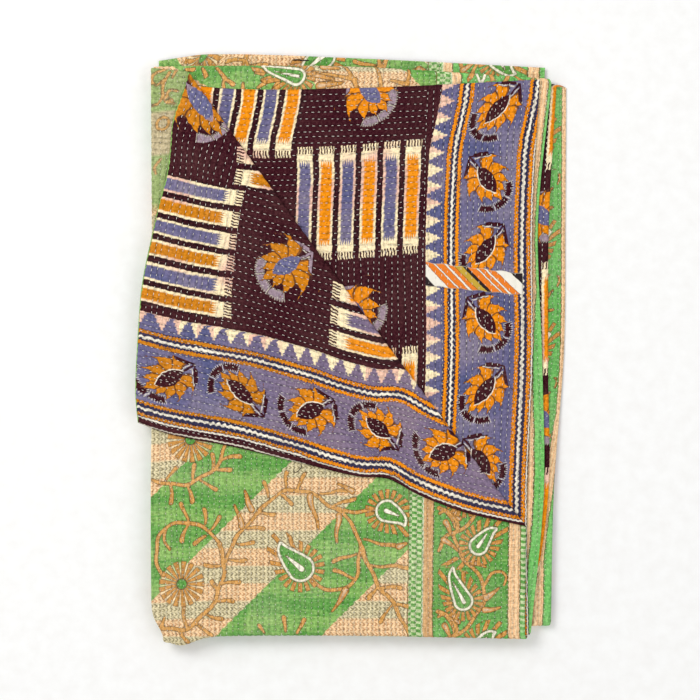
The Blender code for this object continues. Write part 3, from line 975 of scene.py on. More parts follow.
def sunflower(shader, ground, a, b, mask, in_field, petal_ink, figure, white):
    """A sunflower with an almond heart: a runs along the heart to the stalk, b across it.

    The heart is where two circles overlap. Each petal is a wedge of the angle about the heart, which keeps
    its width for half its length and then narrows to a ragged claw that sweeps away from the stalk. Petals
    are longest beside the stalk, and longer where b is negative, up to the leaf there. Beyond the heart's far
    end a stretch of a ring is a leaf in three lobes with a hairy rim. Two more leaves spring from the stalk.
    """
    heart = shader.length(a, abs(b) + 16.5) - 24.4
    angle = shader.angle(a, b * 1.5)
    number = (angle * SUNFLOWER_PETALS + 0.5).floor()
    uneven = shader.node("TexWhiteNoise", {"W": number}, noise_dimensions="1D")
    near_stalk = abs(angle).ramp(0.45, 0.16) * (b.ramp(6.0, -6.0) * 7.0 + 10.0)
    petal_length = (near_stalk + uneven * 2.5 + 8.0) * (in_field * 0.3 + 1)
    out = heart / petal_length
    swept = angle - out * abs(out) * abs(angle).ramp(0.46, 0.2) * b.sign() * 0.10
    off_middle = (swept * SUNFLOWER_PETALS + 0.5).swing()
    width = shader.least((1 - out) * abs(1 - out) * 3.5, 1.02)
    off_stalk = (0.045 - abs(swept)) * 60
    off_leaf = shader.least(a * 0.758 - b * 0.655 - 22.6, a - 17.5)
    ragged = (shader.noise(shader.pair(a, b), 0.32) - 0.5) * 3.2
    petals = (off_middle - width) * shader.most(heart + 9.0, 6.0) * 0.3 + ragged * out.ramp(0.25, 0.7)
    petals = shader.most(petals, off_stalk, -1 * heart - 1.0, off_leaf)
    seams = shader.most((0.87 - off_middle) * 5, off_stalk, heart - petal_length * 0.6, -1 * heart, off_leaf)

    base_x, base_y = a + 9.6, b + 4.2
    far_side = shader.angle(-1 * base_x, base_y) - 0.0155
    off_lobe = 1 - (far_side * 8.13).swing()
    teeth = (far_side * 66).swing()
    ring = abs(shader.length(base_x, base_y) - 22.4) - 4.0
    ends = (abs(far_side) - 0.184) * 150
    lobes = shader.most(ring + teeth * 2.2 - 0.6, (off_lobe - 0.88) * 8.3, ends)
    split = shader.most(ring, (0.93 - off_lobe) * 8.3, ends)
    stalk, vein = (
        shader.least(*(shader.stroke(a, b, *line) for line in lines)) for lines in (STALK, STALK_VEINS)
    )
    dots = shader.length((a / 7.2).fraction() * 7.2 - 3.6, (b / 4.8 + 0.5).fraction() * 4.8 - 2.4) - 0.6
    arc = shader.most(abs(heart - 0.3) - 0.55, b * 0.6)
    rim = "4a2a22"
    return ground.layers(
        (white, teeth.ramp(0.45, 0.75) * (ring - 1.2).inside() * ends.inside() * 0.45),
        (figure, lobes.inside()),
        (white, split.inside() * 0.25),
        (figure, stalk.inside()),
        (white, vein.inside() * 0.8),
        *outlined(rim, 0.7, petal_ink, petals),
        (rim, seams.inside(0.5) * 0.9),
        (figure, heart.inside()),
        (white, shader.most(dots, heart + 1.8).inside() * 0.6),
        (white, arc.inside() * (1 - in_field)),
        within=mask,
    )


def plum_material(look):
    """The plum side: a sunflower border between lines, a toothed edge, and a field of barred squares."""
    shader = Shader("plum_print")
    navy, white = "2b2c49", "f2ead6"
    places, d, v = printed_places(shader)
    lower = shader.value("lower_half")
    upper = 1 - lower
    washed = shader.noise(places, 0.02, 3.0)
    blue = shader.paint(look.field_blue, "47527e", washed.ramp(0.5, 0.68) * 0.65).layers(
        ("8e8494", washed.ramp(0.47, 0.3) * 0.55),
        ("8c7382", upper * v.ramp(90.0, 190.0) * 0.5),
    )
    orange = shader.paint(look.orange, "b47418", upper * v.ramp(250.0, 150.0) * 0.65)

    # Lines on either side of the border
    wavy = d + v.sine(3.8) * 0.55
    zigzag = d + ((v / 7.6).swing() - 0.5) * 1.7
    colour = blue.layers(
        (navy, shader.most(d.ramp(23.3, 22.9), d.band(91.9, 111.9))),
        *((orange, wavy.band(low, high, 0.5)) for low, high in ORANGE_LINES),
        *((white, zigzag.band(middle - 1.55, middle + 1.55, 0.5)) for middle in WHITE_LINES),
        (white, d.band(0.7, 2.4, 0.3) * 0.85),
        (look.plum, d.ramp(0.5, 0.1)),
        (white, d.band(-8.0, -6.4) * 0.75),
    )

    # Stepped teeth, then the plum field
    tooth = v / TOOTH
    tooth_run = (d - 115.2) / 17.6
    stepped = (tooth_run * 4).floor() / 4
    teeth = shader.most(((tooth + 0.5).swing() - stepped * 0.80 - 0.12) * 9, (0.02 - tooth_run) * 17)
    some_pink = shader.streaks(tooth.floor() * 0.37, 0.5, 1.0).ramp(0.46, 0.54)
    in_field = d.ramp(132.9, 133.6)
    colour = colour.layers(
        (shader.paint(look.cream, look.pink, some_pink), teeth.inside(0.5)), (look.plum, in_field)
    )

    # Barred squares, in columns half a step apart
    in_square = d - 142.0
    column = (in_square / SQUARE).floor()
    along_bar = (v - (67.0 * lower - 50.0 * upper + column * HALF_REPEAT)) % REPEAT
    bar = in_square / BAR
    in_bar = bar.fraction() * BAR - 13.6
    off_bar = abs(in_bar) - 9.9
    ragged = (shader.streaks(d * 0.9, v * 0.25) - 0.5) * 1.6
    ends = abs(along_bar - 71.2) - 71.2
    hair = ((in_bar + (along_bar - 71.0) * 0.12) / 3.6).swing()
    cream_bar = shader.most(off_bar + ragged * 0.25, ends + 9.0)
    ticks = shader.most(off_bar, (0.5 - hair) * 2.4, ends + ragged * 2.0)
    fringe = (in_bar / 2.9 + 0.3).swing() * 7.0
    feather = shader.most(abs(in_bar) - 7.1 + ragged * 0.5, (ends + 17.0 + fringe + ragged * 2.0) * 0.35)
    between = (abs(abs(in_bar) - 11.8) - 1.2).inside() * (ends + 10).inside()
    pale = shader.paint(look.cream, look.pink, shader.noise(places, 0.012, 1.0).ramp(0.52, 0.62))
    colour = colour.layers(
        ("1f0b14", between * 0.7),
        (pale, shader.least(cream_bar, ticks).inside(0.4)),
        (shader.paint(orange, blue, bar.floor() % 2), feather.inside(0.8)),
        within=in_square.ramp(-0.5, 0.5),
    )

    # Sunflowers
    a, b, away = shader.value("about", "Vector").split()
    near = (away - in_field * 7).ramp(42.2, 41.4)
    nudge = (d - places.split()[0]) * 0.8
    heart_or_leaf = shader.paint("65668c", "9b8794", away.ramp(20.0, 22.0))
    figure = shader.paint(look.plum, heart_or_leaf, in_field)
    petal_ink = orange.layers(("b06a10", shader.noise(places, 0.25, 3.0).ramp(0.5, 0.75) * 0.5))
    colour = colour.layers((look.plum, in_field * away.ramp(30, 24)))
    a, b = (a + nudge) / 1.14, (b + nudge) / 1.14
    colour = sunflower(shader, colour, a, b, near, in_field, petal_ink, figure, white)
    colour = colour.layers((look.pale_green, v.ramp(1.5, 1.1) * upper))
    return worn_cloth(shader, colour, places, 1.0, "c79a8e", 0.07)


def green_material(look):
    """The green side: checked and striped borders round paisleys, and branches over diagonal bands."""
    shader = Shader("green_print")
    white, outline, painted_light_green = "f4efdc", "694a25", "6cbd60"
    places, d, y = printed_places(shader)
    upper = 1 - shader.value("lower_half")

    # Blocks and strips of the ground
    block_row = (y / 22.0).floor()
    blocks = shader.pair((d / 13.0 + block_row * 0.37).floor(), block_row)
    block = shader.node("TexWhiteNoise", {"Vector": blocks}, noise_dimensions="2D")
    streaks = shader.streaks(d * 0.03, y * 0.35, 3.0)
    deep = (block * 0.22 + streaks * 0.8 + (y / 44.0 + 0.1).swing() * 0.4).ramp(0.5, 0.85)
    green = shader.paint(look.pale_green, look.green, deep)
    off_row = abs((y / 6.3).fraction() - 0.5) * 6.3
    arrow = ((d - off_row * 1.1) / 5.0).swing().ramp(0.42, 0.72) * off_row.ramp(2.9, 2.2)
    grey_cream = shader.paint("dccfa6", "6f6038", arrow * 0.75)
    peach = shader.paint(look.peach, "b0672a", arrow * 0.72)
    diagonal = ((d + y - 256.0) / REPEAT).fraction() * REPEAT
    at_corner = y.ramp(532.0, 544.0) * upper
    colour = peach.layers(
        (grey_cream, ((y + 10.4) / 44.0).swing().ramp(0.44, 0.56)),
        (green, diagonal.band(-1.0, 131.0, 0.8)),
        ("86a860", at_corner),
        ("c0b08c", at_corner * y.band(603.0, 657.0, 2.0)),
    )

    # Borders
    # Past the front fold, on the deeper layers, the border ground and the hem checks are laid over with a
    # brighter green: painted light that offsets the shade they fall in under the layers above
    front = y.ramp(30.0, -10.0)
    border_ground = shader.paint(look.green, look.pale_green, streaks.ramp(0.5, 0.7) * 0.6)
    check = ((y / 7.2) + (d / 6.2).floor() * 0.5).swing().ramp(0.45, 0.55)
    at_hem = d.ramp(6.4, 6.0)
    checked = shader.most(d.band(128.7, 146.2), at_hem)
    checks = shader.paint(look.green, "d3dfae", check * 0.8)
    striped = shader.most(d.band(7.4, 21.2), d.band(116.2, 127.6))
    stripes = shader.paint(look.peach, "d98a4e", (d / 4.6).swing().ramp(0.5, 0.7) * 0.4)
    colour = colour.layers(
        (border_ground.layers((painted_light_green, front * 0.8)), d.ramp(129.3, 128.3)),
        (checks.layers((painted_light_green, at_hem * front)), checked),
        (stripes.layers(("b98443", d.ramp(60.0, 61.0) * upper * 0.6)), striped),
        *((outline, d.band(middle - 0.5, middle + 0.5)) for middle in (6.8, 21.4, 116.0, 147.2)),
        (white, d.band(127.7, 128.7) * 0.8),
    )

    # Branches and leaves, then the spiky rings of the paisleys and the paisleys
    rough = (shader.noise(places, 0.5) - 0.5) * 1.1
    stem, leaf = shader.value("stem") + rough, shader.value("leaf")
    paisley = shader.value("paisley") + rough * 0.5
    stem_ink = shader.paint(look.vine, "f2c078", shader.noise(places, 0.8).ramp(0.4, 0.7) * 0.5)
    leaf_ink = shader.paint(look.vine, white, (leaf + 1.7).inside(0.6) * 0.35)
    x, y_about, slim = shader.value("about", "Vector").split()
    angle, away = shader.angle(x, y_about), shader.length(x, y_about)
    off_spike = (angle * 18).swing() * away * (math.pi / 18) - shader.least(away * 0.1, 2.3)
    spikes = shader.most(off_spike, (abs((paisley - 8.6) / 5.4) - 1) * 5.4)
    clear = 1 - shader.most(checked, striped)
    colour = colour.layers(
        (outline, (stem - 0.85).inside() * 0.95),
        (stem_ink, stem.inside()),
        *outlined(outline, 0.85, leaf_ink, leaf),
        *outlined(outline, 0.7, look.vine, spikes),
        *outlined(outline, 0.7, "ece8d0", paisley - 1.4),
        *outlined(outline, 0.4, look.green, paisley + 1.7),
        (outline, (slim - 0.7).inside() * 0.8),
        (white, slim.inside()),
        within=clear,
    )

    # Daisies
    daisy = shader.value("daisy") + rough * 0.4
    off_petal = (angle * 17).swing()
    petals = shader.most(
        (off_petal - 0.56) * (daisy + DAISY_HEART) * 0.185, (abs((daisy - 11.3) / 10.3) - 1) * 10.0
    )
    colour = colour.layers(
        ("ead9ae", shader.most(daisy - 20.5, (0.8 - off_petal) * 4.0).inside() * 0.7),
        (outline, (petals - 0.7).inside() * 0.9),
        (look.vine, petals.inside()),
        (look.green, daisy.inside()),
        (outline, (abs(daisy) - 0.5).inside()),
        within=clear,
    )
    faded = d.ramp(415.0, 445.0) * y.ramp(400.0, 440.0) * upper
    colour = colour.layers(("a89a70", faded * 0.25))
    return worn_cloth(shader, colour, places, 0.85, "efe3c4", 0.18)


def thread_material(name, tone, shade, shading, roughness):
    """Soft cotton thread, faintly twisted."""
    shader = Shader(name)
    grain = shader.grain(2600.0, 2.0)
    return shader.finish(shader.paint(tone, shade, grain.ramp(*shading)), roughness, grain * 0.12)


def patch_material():
    """A scrap of another print: slanting stripes of orange, olive and black between white triangles."""
    shader = Shader("patch_stripe")
    places = shader.node("UVMap", uv_map="print")
    along_strip, across_strip, _ = places.split()
    drift = (shader.noise(places, 0.15) - 0.5) * 2.0
    slant = along_strip + across_strip * 1.05 + drift
    slant = slant + (shader.streaks(slant * 0.2, across_strip * 1.4) - 0.5) * 1.6
    black, white, olive = "2a2022", "f3eee0", "c7a53a"
    orange = shader.paint("f0832a", "d9691c", shader.noise(places, 0.5).ramp(0.45, 0.7) * 0.5)
    (first, tone), *stripes = (
        (12, white), (29, orange), (40, white), (43, orange), (54, white), (58, orange), (66, olive),
        (77, black), (83, orange), (94, white), (97, orange), (104, white), (108, orange), (118, white),
        (137, black),
    )
    colour = shader.paint(black, tone, slant.ramp(first - 0.4, first + 0.4)).layers(
        *((tone, slant.ramp(start - 0.4, start + 0.4)) for start, tone in stripes),
        *((black, slant.band(middle - 0.45, middle + 0.45) * 0.75)
          for middle in (12, 29, 40, 43, 54, 58, 66, 94, 97, 104, 108, 118)),
        ("efe6cf", shader.least(across_strip, 30.0 - across_strip).ramp(1.0, 0.4) * 0.5),
    )
    thread = 2 * math.pi / 7.0
    height = along_strip.sine(thread) * across_strip.sine(thread) * 0.04 + shader.noise(places, 0.12) * 1.2
    return shader.finish(colour, 0.88, height, sheen=0.1)


def floor_material():
    """Plain pale floor with a very slight tooth."""
    shader = Shader("pale_floor")
    grain = shader.grain(60.0, 3.0)
    return shader.finish(shader.paint("fbfbfa", "f5f4f2", grain.ramp(0.3, 0.8)), 0.95, grain * 0.2)


# ---- Settings and operators ----
def colour_property(name, description, code):
    return FloatVectorProperty(
        name=name, description=description, default=ink(code), size=3, min=0.0, max=1.0, subtype="COLOR"
    )


def length_property(name, description, default):
    return FloatProperty(
        name=name, description=description, default=default, min=0.0, subtype="DISTANCE", unit="LENGTH"
    )


class QuiltInks(bpy.types.PropertyGroup):
    """The colours that the two cloths are printed in."""

    orange: colour_property("Orange", "Petals, bars and border lines of the plum side", "ec8d06")
    plum: colour_property("Plum", "Ground of the barred field", "370c18")
    field_blue: colour_property("Blue-grey", "Ground of the sunflower border, and every other bar", "686588")
    cream: colour_property("Cream", "Edges of the bars, and teeth", "fbe8bc")
    pink: colour_property("Pink", "Every other tooth, and the edges of some bars", "ecc0a8")
    green: colour_property("Green", "Deeper green of the green side", "579a42")
    pale_green: colour_property("Pale green", "Lighter green of the green side", "88b65e")
    peach: colour_property("Peach", "Diagonal bands of the green side", "f2cd9e")
    vine: colour_property("Vine", "Branches and daisies of the green side", "cb8e41")


class QuiltStitching(bpy.types.PropertyGroup):
    """The running stitch."""

    plum_stitch: length_property("Plum stitch", "Length of a stitch on the plum side", 0.0034)
    green_stitch: length_property("Green stitch", "Length of a stitch on the green side", 0.0018)
    thickness: length_property("Thread", "Thickness of the sewing thread", 0.0007)


class QuiltLight(bpy.types.PropertyGroup):
    """The studio."""

    key: FloatProperty(
        name="Key", description="Power of the large light from upper left", default=42.0, min=0.0,
        subtype="POWER", unit="POWER",
    )
    fill: FloatProperty(
        name="Fill", description="Brightness of the light from all round", default=0.62, min=0.0,
        subtype="FACTOR",
    )


def ride(obj, slot_name, *nodes):
    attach(obj, "root")
    if nodes:
        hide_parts(*nodes)


def new_object(name, points, faces, material):
    mesh = bpy.data.meshes.new(name)
    mesh.from_pydata(points, [], faces)
    return add_to_scene(name, mesh, material)


def across_places(*finer):
    """Places across a cloth: even steps in each half and round the fold, with the hems' rounding."""
    even = stations((0.0, FOLD_START, 20), (FOLD_START, FOLD_END, 6), (FOLD_END, WIDTH, 20), *finer)
    return unique(even, rim_stations(WIDTH))


def back_places():
    """The coarser places across the back of a cloth."""
    halves = (0.0, FOLD_START, 16), (FOLD_START, FOLD_END, 4), (FOLD_END, WIDTH, 16)
    return stations(*halves, (0.0, 0.036, 12), (WIDTH - 0.012, WIDTH, 3))


class QUILT_OT_add_green_cloth(bpy.types.Operator):
    """Add the green printed cloth, which is outside when the quilt is folded lengthwise"""

    bl_idname = "quilt.add_green_cloth"
    bl_label = "Add Green Cloth"

    def execute(self, context):
        folds, rim = fold_stretches(10), rim_stations(LENGTH)
        lower_half, shown = (FOLD_END, WIDTH, 190), 0.38
        blocks = [
            (across_places((0.40, FOLD_START, 34)), unique(stations((0.0, shown, 100)), rim[:4])),
            (across_places((0.0, PANEL_WIDTH, ROWS_IN_PANEL * 4)),
             stations((shown, PANEL_LENGTH, 150), folds[0])[1:]),
            (across_places((WIDTH - 0.04, WIDTH, 16)), stations(in_panel(1, 0, 0.93, 80))[1:]),
            (across_places(lower_half), stations(in_panel(1, 0.93, 1, 20), folds[1])[1:]),
            (across_places((0.0, 0.04, 16)),
             stations(in_panel(2, 0, 1, 110), folds[2], in_panel(3, 0, 0.92, 33))[1:]),
            (across_places(lower_half), unique(stations(in_panel(3, 0.92, 1, 23)), rim[4:])[1:]),
        ]
        hidden = [in_panel(number, 0, 1, 24) for number in (1, 2, 3)]
        back_v = stations((0.0, shown, 16), (shown, PANEL_LENGTH, 14), *hidden, *fold_stretches(8))
        slab = flat_cloth(1, blocks, back_places(), back_v)
        material = green_material(context.scene.quilt_inks)
        cloth = folded_cloth("Green_cloth", slab, 1, green_fields, material)
        ride(cloth, "green_print", "green_cloth")
        return {"FINISHED"}


class QUILT_OT_add_plum_cloth(bpy.types.Operator):
    """Add the plum printed cloth, which shows on the turned corner and beside it"""

    bl_idname = "quilt.add_plum_cloth"
    bl_label = "Add Plum Cloth"

    def execute(self, context):
        rows_across, rows_along, steps = 55, 72, 3  # rows of stitching that show, and steps in each
        shown_u, shown_v = rows_across * ROW, rows_along * ROW
        rim = rim_stations(LENGTH)
        fine = stations(
            (0.0, shown_u, rows_across * steps), (shown_u, FOLD_START, 4), (FOLD_START, FOLD_END, 6),
            (FOLD_END, WIDTH - shown_u, 4), (WIDTH - shown_u, WIDTH, rows_across * steps),
        )
        hidden = [in_panel(number, 0, 1, 24) for number in (2, 3)]
        rest = stations((shown_v, PANEL_LENGTH, 8), in_panel(1, 0, 1, 80), *hidden, *fold_stretches(8))
        shown = stations((0.0, shown_v, rows_along * steps))
        blocks = [
            (unique(fine, rim_stations(WIDTH)), unique(shown, rim[:4])),
            (across_places((0.0, 0.03, 12)), unique(rest, rim[4:])[1:]),
        ]
        back_v = stations(
            (0.0, shown_v, 30), (shown_v, PANEL_LENGTH, 8), in_panel(1, 0, 1, 24), *hidden, *fold_stretches(8)
        )
        slab = flat_cloth(-1, blocks, back_places(), back_v)
        material = plum_material(context.scene.quilt_inks)
        cloth = folded_cloth("Plum_cloth", slab, -1, plum_fields, material)
        ride(cloth, "plum_print", "plum_cloth")
        return {"FINISHED"}


def thread_capsules(u, v, along_u, side, length, thickness, raised):
    """Stitches as capsules: a ring of five points at three places along each, and a point at either end.

    They are laid on the flat quilt, bowed up a little in the middle, and folded with it.
    """
    sides, per_stitch = 5, 17  # points round a ring, and in a whole stitch
    turn = np.linspace(0, 2 * math.pi, sides, endpoint=False)
    along_stitch = np.concatenate([[-0.5], np.repeat((-0.33, 0.0, 0.33), sides), [0.5]])
    width = np.concatenate([[0.0], np.repeat((0.85, 1.0, 0.85), sides), [0.0]]) * thickness / 2
    turn = np.concatenate([[0.0], np.tile(turn, 3), [0.0]])
    run = length[:, None] * along_stitch
    aside = width * np.sin(turn) + 0 * run
    bow = BOW * (1 - (2 * along_stitch) ** 2)
    lift = HALF_QUILT - BOW + bow + width * np.cos(turn) + raised[:, None] + 0 * run
    flat_u = u[:, None] + np.where(along_u[:, None], run, aside)
    flat_v = v[:, None] + np.where(along_u[:, None], aside, run)
    points = place_of(flat_u, flat_v, side * lift).reshape(-1, 3)
    near = 1 + np.arange(sides)
    after = 1 + (near % sides)
    end = np.full(sides, per_stitch - 1)
    tris = np.concatenate([
        np.stack([0 * near, after, near], -1),
        np.stack([end, near + 2 * sides, after + 2 * sides], -1),
    ])
    quads = np.concatenate([
        np.stack([near + low, after + low, after + low + sides, near + low + sides], -1) for low in (0, sides)
    ])
    faces = []
    inside_out = (side < 0) == along_u
    for kind in (tris, quads):
        every = per_stitch * np.arange(len(u))[:, None, None] + kind
        every[inside_out] = every[inside_out][:, :, ::-1]
        faces += every.reshape(-1, kind.shape[-1]).tolist()
    return points, faces


def stitch_places(u_low, u_high, v_low, v_high, pitch, along_u, random):
    """Middles of the stitches of every row in a rectangle of the flat quilt, with a little wandering."""
    if along_u:
        rows, runs = np.arange(math.ceil(v_low / ROW), v_high / ROW), np.arange(u_low, u_high, pitch)
    else:
        rows, runs = np.arange(math.ceil(u_low / ROW), u_high / ROW), np.arange(v_low, v_high, pitch)
    row, run = np.meshgrid(rows, runs, indexing="ij")
    run = run + random.uniform(0, pitch, (len(rows), 1)) + random.normal(0, 0.0005, run.shape)
    line = row * ROW + row_wander(row, run) + random.normal(0, 0.00012, run.shape)
    pair = (run, line) if along_u else (line, run)
    return pair[0].ravel(), pair[1].ravel()


def left_of(place, start, end):
    """How far places lie to the left of the line from start to end, as seen from above."""
    run = (end - start) / np.linalg.norm(end - start)
    return run[0] * (place[:, 1] - start[1]) - run[1] * (place[:, 0] - start[0])


def within(place, corners, margin):
    """Whether places lie inside a polygon by more than a margin. Its corners go anticlockwise."""
    sides = zip(corners, corners[1:] + corners[:1])
    return np.all([left_of(place, start, end) > margin for start, end in sides], axis=0)


class QUILT_OT_add_stitching(bpy.types.Operator):
    """Add the running stitch on the faces of the quilt that show"""

    bl_idname = "quilt.add_stitching"
    bl_label = "Add Stitching"

    def execute(self, context):
        settings = context.scene.quilt_stitching
        random = np.random.default_rng(11)
        flat_corners = (TURN_END * PANEL_WIDTH, 0.0), (0.0, 0.0), (0.0, TURN_SIDE * PANEL_LENGTH)
        corners = [place_of(u, v, 0.0)[..., :2].ravel() for u, v in flat_corners]
        first, _, last = corners
        margin, inner, field_end, far_edge = 0.004, WIDTH - BORDER, 0.57, 0.36
        plum_pitch, green_pitch, edge_pitch = 0.0079, 0.0068, 0.0074
        groups = {-1: [], 1: []}

        def add(side, u, v, along_u, shown):
            groups[side].append((u[shown], v[shown], np.full(shown.sum(), along_u)))

        for *rectangle, along_u in (
            (BORDER, PANEL_WIDTH, margin, UPPER_SQUARES, True),
            (margin, BORDER, margin, UPPER_SQUARES, False),
            (margin, PANEL_WIDTH, UPPER_SQUARES, field_end, False),
            (inner, WIDTH - margin, margin, LOWER_SQUARES, False),
            (FOLD_END + 0.02, inner, margin, LOWER_SQUARES, True),
            (FOLD_END + 0.02, WIDTH - margin, LOWER_SQUARES, field_end, False),
        ):
            u, v = stitch_places(*rectangle, plum_pitch, along_u, random)
            place = place_of(u, v, -HALF_QUILT)
            on_flap = turned_share(u, v) > BEND * 1.2
            beside_flap = (left_of(place, first, last) > 0.001) & (place[:, 1] < far_edge)
            add(-1, u, v, along_u, beside_flap if rectangle[1] > PANEL_WIDTH else on_flap)
        u, v = stitch_places(margin, PANEL_WIDTH, margin, PANEL_LENGTH, green_pitch, False, random)
        covered = within(place_of(u, v, HALF_QUILT), corners, 0.012)
        add(1, u, v, False, (turned_share(u, v) < -0.01) & ~covered)
        for side, *rectangle in (
            (1, WIDTH - 0.036, WIDTH - margin, lengthwise(1, 0.01), lengthwise(1, 0.99)),
            (1, margin, 0.036, lengthwise(2, 0.01), lengthwise(2, 0.99)),
            (-1, margin, 0.020, lengthwise(1, 0.01), lengthwise(1, 0.99)),
            (1, FOLD_END + margin, WIDTH - margin, lengthwise(1, 0.94), lengthwise(1, 0.995)),
            (1, FOLD_END + margin, WIDTH - margin, lengthwise(3, 0.94), LENGTH - margin),
        ):
            u, v = stitch_places(*rectangle, edge_pitch, False, random)
            add(side, u, v, False, np.ones(len(u), bool))

        material = thread_material("stitch_thread", "f6f1e6", "d8cfc0", (0.45, 0.8), 0.85)
        patch = [np.array(corner) for corner in PATCH_CORNERS[::-1]]
        for side, length, name, slot_name in (
            (-1, settings.plum_stitch, "Plum_stitching", "plum_print"),
            (1, settings.green_stitch, "Green_stitching", "green_print"),
        ):
            u, v, along_u = (np.concatenate(parts) for parts in zip(*groups[side]))
            lengths = length * random.uniform(0.75, 1.2, len(u))
            place = place_of(u, v, side * HALF_QUILT)
            on_top = (place[:, 2] > pair_height(0) - LAYER) & (u > PANEL_WIDTH) & (side < 0)
            raised = np.where(on_top & within(place, patch, 0.001), PATCH_THICKNESS + 0.0005, 0.0)
            points, faces = thread_capsules(u, v, along_u, side, lengths, settings.thickness, raised)
            ride(new_object(name, points, faces, material), slot_name)
        return {"FINISHED"}


class QUILT_OT_add_loose_threads(bpy.types.Operator):
    """Add two stray ends of dark thread"""

    bl_idname = "quilt.add_loose_threads"
    bl_label = "Add Loose Threads"

    def execute(self, context):
        points, faces, total = [], [], 0
        for path, radius in ((HOOKED_END, 0.0004), (STRAIGHT_END, 0.0008)):
            fine = np.linspace(0, len(path) - 1, 8 * len(path))
            u, v = (along(np.arange(len(path)), values, fine) for values in np.array(path).T)
            middle = place_of(u, v, HALF_QUILT + 0.0003)
            ahead = np.gradient(middle, axis=0)
            ahead /= np.linalg.norm(ahead, axis=1, keepdims=True)
            upward = np.array((0.0, 0.0, 1.0))
            aside = np.cross(ahead, upward)[:, None]
            width = radius * np.sqrt(np.clip(1 - np.abs(np.linspace(-1, 1, len(fine))) ** 8, 0.02, 1))
            ring = np.linspace(0, 2 * math.pi, 7)[:-1, None]
            tube = middle[:, None] + width[:, None, None] * (np.cos(ring) * aside + np.sin(ring) * upward)
            index = total + np.arange(tube.size // 3).reshape(tube.shape[:2])
            wrapped = np.concatenate([index, index[:, :1]], axis=1)
            quads = np.stack([wrapped[:-1, :-1], wrapped[:-1, 1:], wrapped[1:, 1:], wrapped[1:, :-1]], -1)
            faces += quads.reshape(-1, 4).tolist() + [index[0, ::-1].tolist(), index[-1].tolist()]
            points.append(tube.reshape(-1, 3))
            total += tube.size // 3
        material = thread_material("dark_thread", "1c1718", "3a3230", (0.0, 1.0), 0.8)
        ride(new_object("Loose_threads", np.concatenate(points), faces, material), "green_print")
        return {"FINISHED"}


class QUILT_OT_add_patch(bpy.types.Operator):
    """Add the striped patch sewn over the plum border"""

    bl_idname = "quilt.add_patch"
    bl_label = "Add Patch"

    def execute(self, context):
        columns, rows = 91, 25
        s, t = np.meshgrid(np.linspace(0, 1, columns), np.linspace(0, 1, rows), indexing="ij")
        inner_far, outer_far, outer_near, inner_near = (np.array(corner) for corner in PATCH_CORNERS)
        near = inner_near + (outer_near - inner_near) * s[..., None]
        far = inner_far + (outer_far - inner_far) * s[..., None]
        flat = near + (far - near) * t[..., None]
        flat[..., 1] += 0.0007 * np.sin(31 * s + 2 * t) * np.where(t > 0.5, 1, -1) * np.abs(2 * t - 1) ** 3
        length, width = PATCH_SIZE
        edge = np.minimum(np.minimum(s, 1 - s) * length, np.minimum(t, 1 - t) * (width - 0.002))
        ground = pair_height(0) - SIDE_RADIUS + HALF_QUILT + GAP
        rise = PATCH_THICKNESS * np.sqrt(np.clip(1 - (1 - np.clip(edge / 0.0012, 0, 1)) ** 2, 0, 1))
        puff = 0.0004 * np.sin(52 * s) * np.sin(math.pi * t) + 0.0003 * np.sin(19 * s + 5 * t)
        top = ground + np.maximum(rise + puff * smoothstep(edge / 0.004), 0.0001)
        levels = [top, np.full(s.shape, ground)]
        places = [np.stack(settled(flat[..., 0], flat[..., 1], level), -1).reshape(-1, 3) for level in levels]
        index = np.arange(s.size).reshape(s.shape)
        rim = np.concatenate([index[:-1, 0], index[-1, :-1], index[:0:-1, -1], index[0, :0:-1]])
        after = np.roll(rim, -1)
        faces = grid_faces(columns, rows).tolist()
        faces += (grid_faces(columns, rows)[:, ::-1] + s.size).tolist()
        faces += np.stack([rim, rim + s.size, after + s.size, after], -1).tolist()
        patch = new_object("Patch", np.concatenate(places), faces, patch_material())
        corners = read(patch.data.loops, "vertex_index", np.int32)
        pairs = np.stack([s.ravel() * length, t.ravel() * width], -1) * 1000
        set_uv(patch.data, "print", pairs[corners % s.size])
        ride(patch, "patch_stripe", "patch")
        return {"FINISHED"}


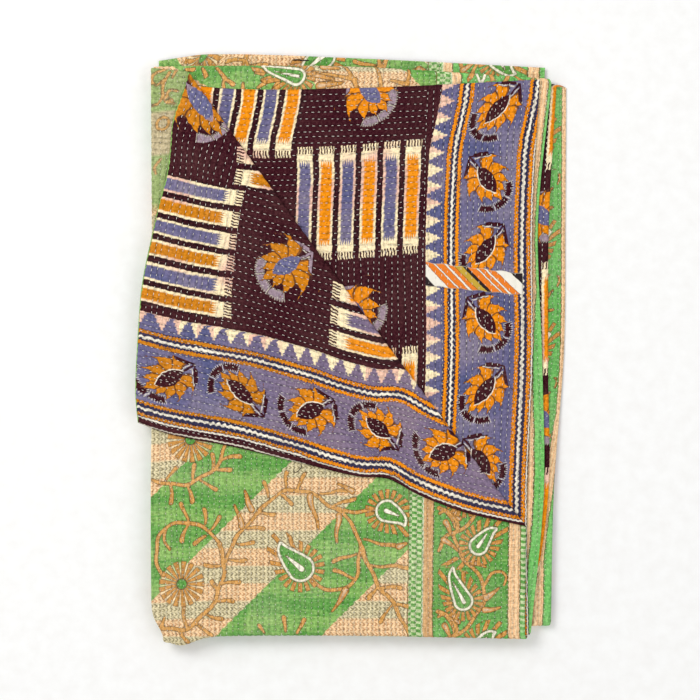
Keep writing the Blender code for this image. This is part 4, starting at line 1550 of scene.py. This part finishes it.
class QUILT_OT_add_stage(bpy.types.Operator):
    """Add the pale floor, the soft lights and the camera straight above"""

    bl_idname = "quilt.add_stage"
    bl_label = "Add Stage"

    def execute(self, context):
        scene, light = context.scene, context.scene.quilt_light
        grid = np.linspace(-3.0, 3.0, 9)
        x, y = np.meshgrid(grid, grid, indexing="ij")
        points = np.stack([x, y, 0 * x], -1).reshape(-1, 3)
        floor = new_object("Floor", points, grid_faces(*x.shape).tolist(), floor_material())

        scene.world = bpy.data.worlds.new("Studio")
        scene.world.use_nodes = True
        background = scene.world.node_tree.nodes["Background"]
        background.inputs["Color"].default_value = (1.0, 1.0, 1.0, 1.0)
        background.inputs["Strength"].default_value = light.fill
        for name, place, width, share in (
            ("Key", (-1.5, 1.3, 2.2), 1.4, 1.0),
            ("Side", (1.6, -0.8, 2.4), 1.8, 0.35),
        ):
            lamp = bpy.data.lights.new(name, "AREA")
            lamp.shape = "SQUARE"
            lamp.size = width
            lamp.energy = light.key * share
            obj = bpy.data.objects.new(name, lamp)
            obj.location = place
            obj.rotation_euler = (-Vector(place)).to_track_quat("-Z", "Y").to_euler()
            scene.collection.objects.link(obj)

        camera = bpy.data.cameras.new("Camera")
        camera.sensor_width = 36.0
        camera.lens = camera.sensor_width * (CAMERA_HEIGHT - PACKET_TOP) / VIEW_WIDTH
        obj = bpy.data.objects.new("Camera", camera)
        obj.location = (*VIEW_MIDDLE, CAMERA_HEIGHT)
        scene.collection.objects.link(obj)
        scene.camera = obj
        scene.view_settings.view_transform = "Standard"
        return {"FINISHED"}


class QUILT_PT_panel(bpy.types.Panel):
    """Buttons and settings for the quilt."""

    bl_label = "Folded Quilt"
    bl_space_type = "VIEW_3D"
    bl_region_type = "UI"
    bl_category = "Quilt"

    def draw(self, context):
        scene = context.scene
        for operator in OPERATORS:
            self.layout.operator(operator.bl_idname)
        for settings in (scene.quilt_inks, scene.quilt_stitching, scene.quilt_light):
            box = self.layout.box()
            for name in type(settings).__annotations__:
                box.prop(settings, name)


OPERATORS = (
    QUILT_OT_add_green_cloth,
    QUILT_OT_add_plum_cloth,
    QUILT_OT_add_stitching,
    QUILT_OT_add_loose_threads,
    QUILT_OT_add_patch,
    QUILT_OT_add_stage,
)
SETTINGS = {"quilt_inks": QuiltInks, "quilt_stitching": QuiltStitching, "quilt_light": QuiltLight}


def register():
    for cls in (*SETTINGS.values(), *OPERATORS, QUILT_PT_panel):
        bpy.utils.register_class(cls)
    for name, group in SETTINGS.items():
        setattr(bpy.types.Scene, name, PointerProperty(type=group))


def unregister():
    for name in SETTINGS:
        delattr(bpy.types.Scene, name)
    for cls in (QUILT_PT_panel, *reversed(OPERATORS), *reversed(SETTINGS.values())):
        bpy.utils.unregister_class(cls)


def main():
    register()
    bpy.ops.quilt.add_green_cloth()
    bpy.ops.quilt.add_plum_cloth()
    bpy.ops.quilt.add_stitching()
    bpy.ops.quilt.add_loose_threads()
    bpy.ops.quilt.add_patch()
    bpy.ops.quilt.add_stage()


if __name__ == "__main__":
    main()
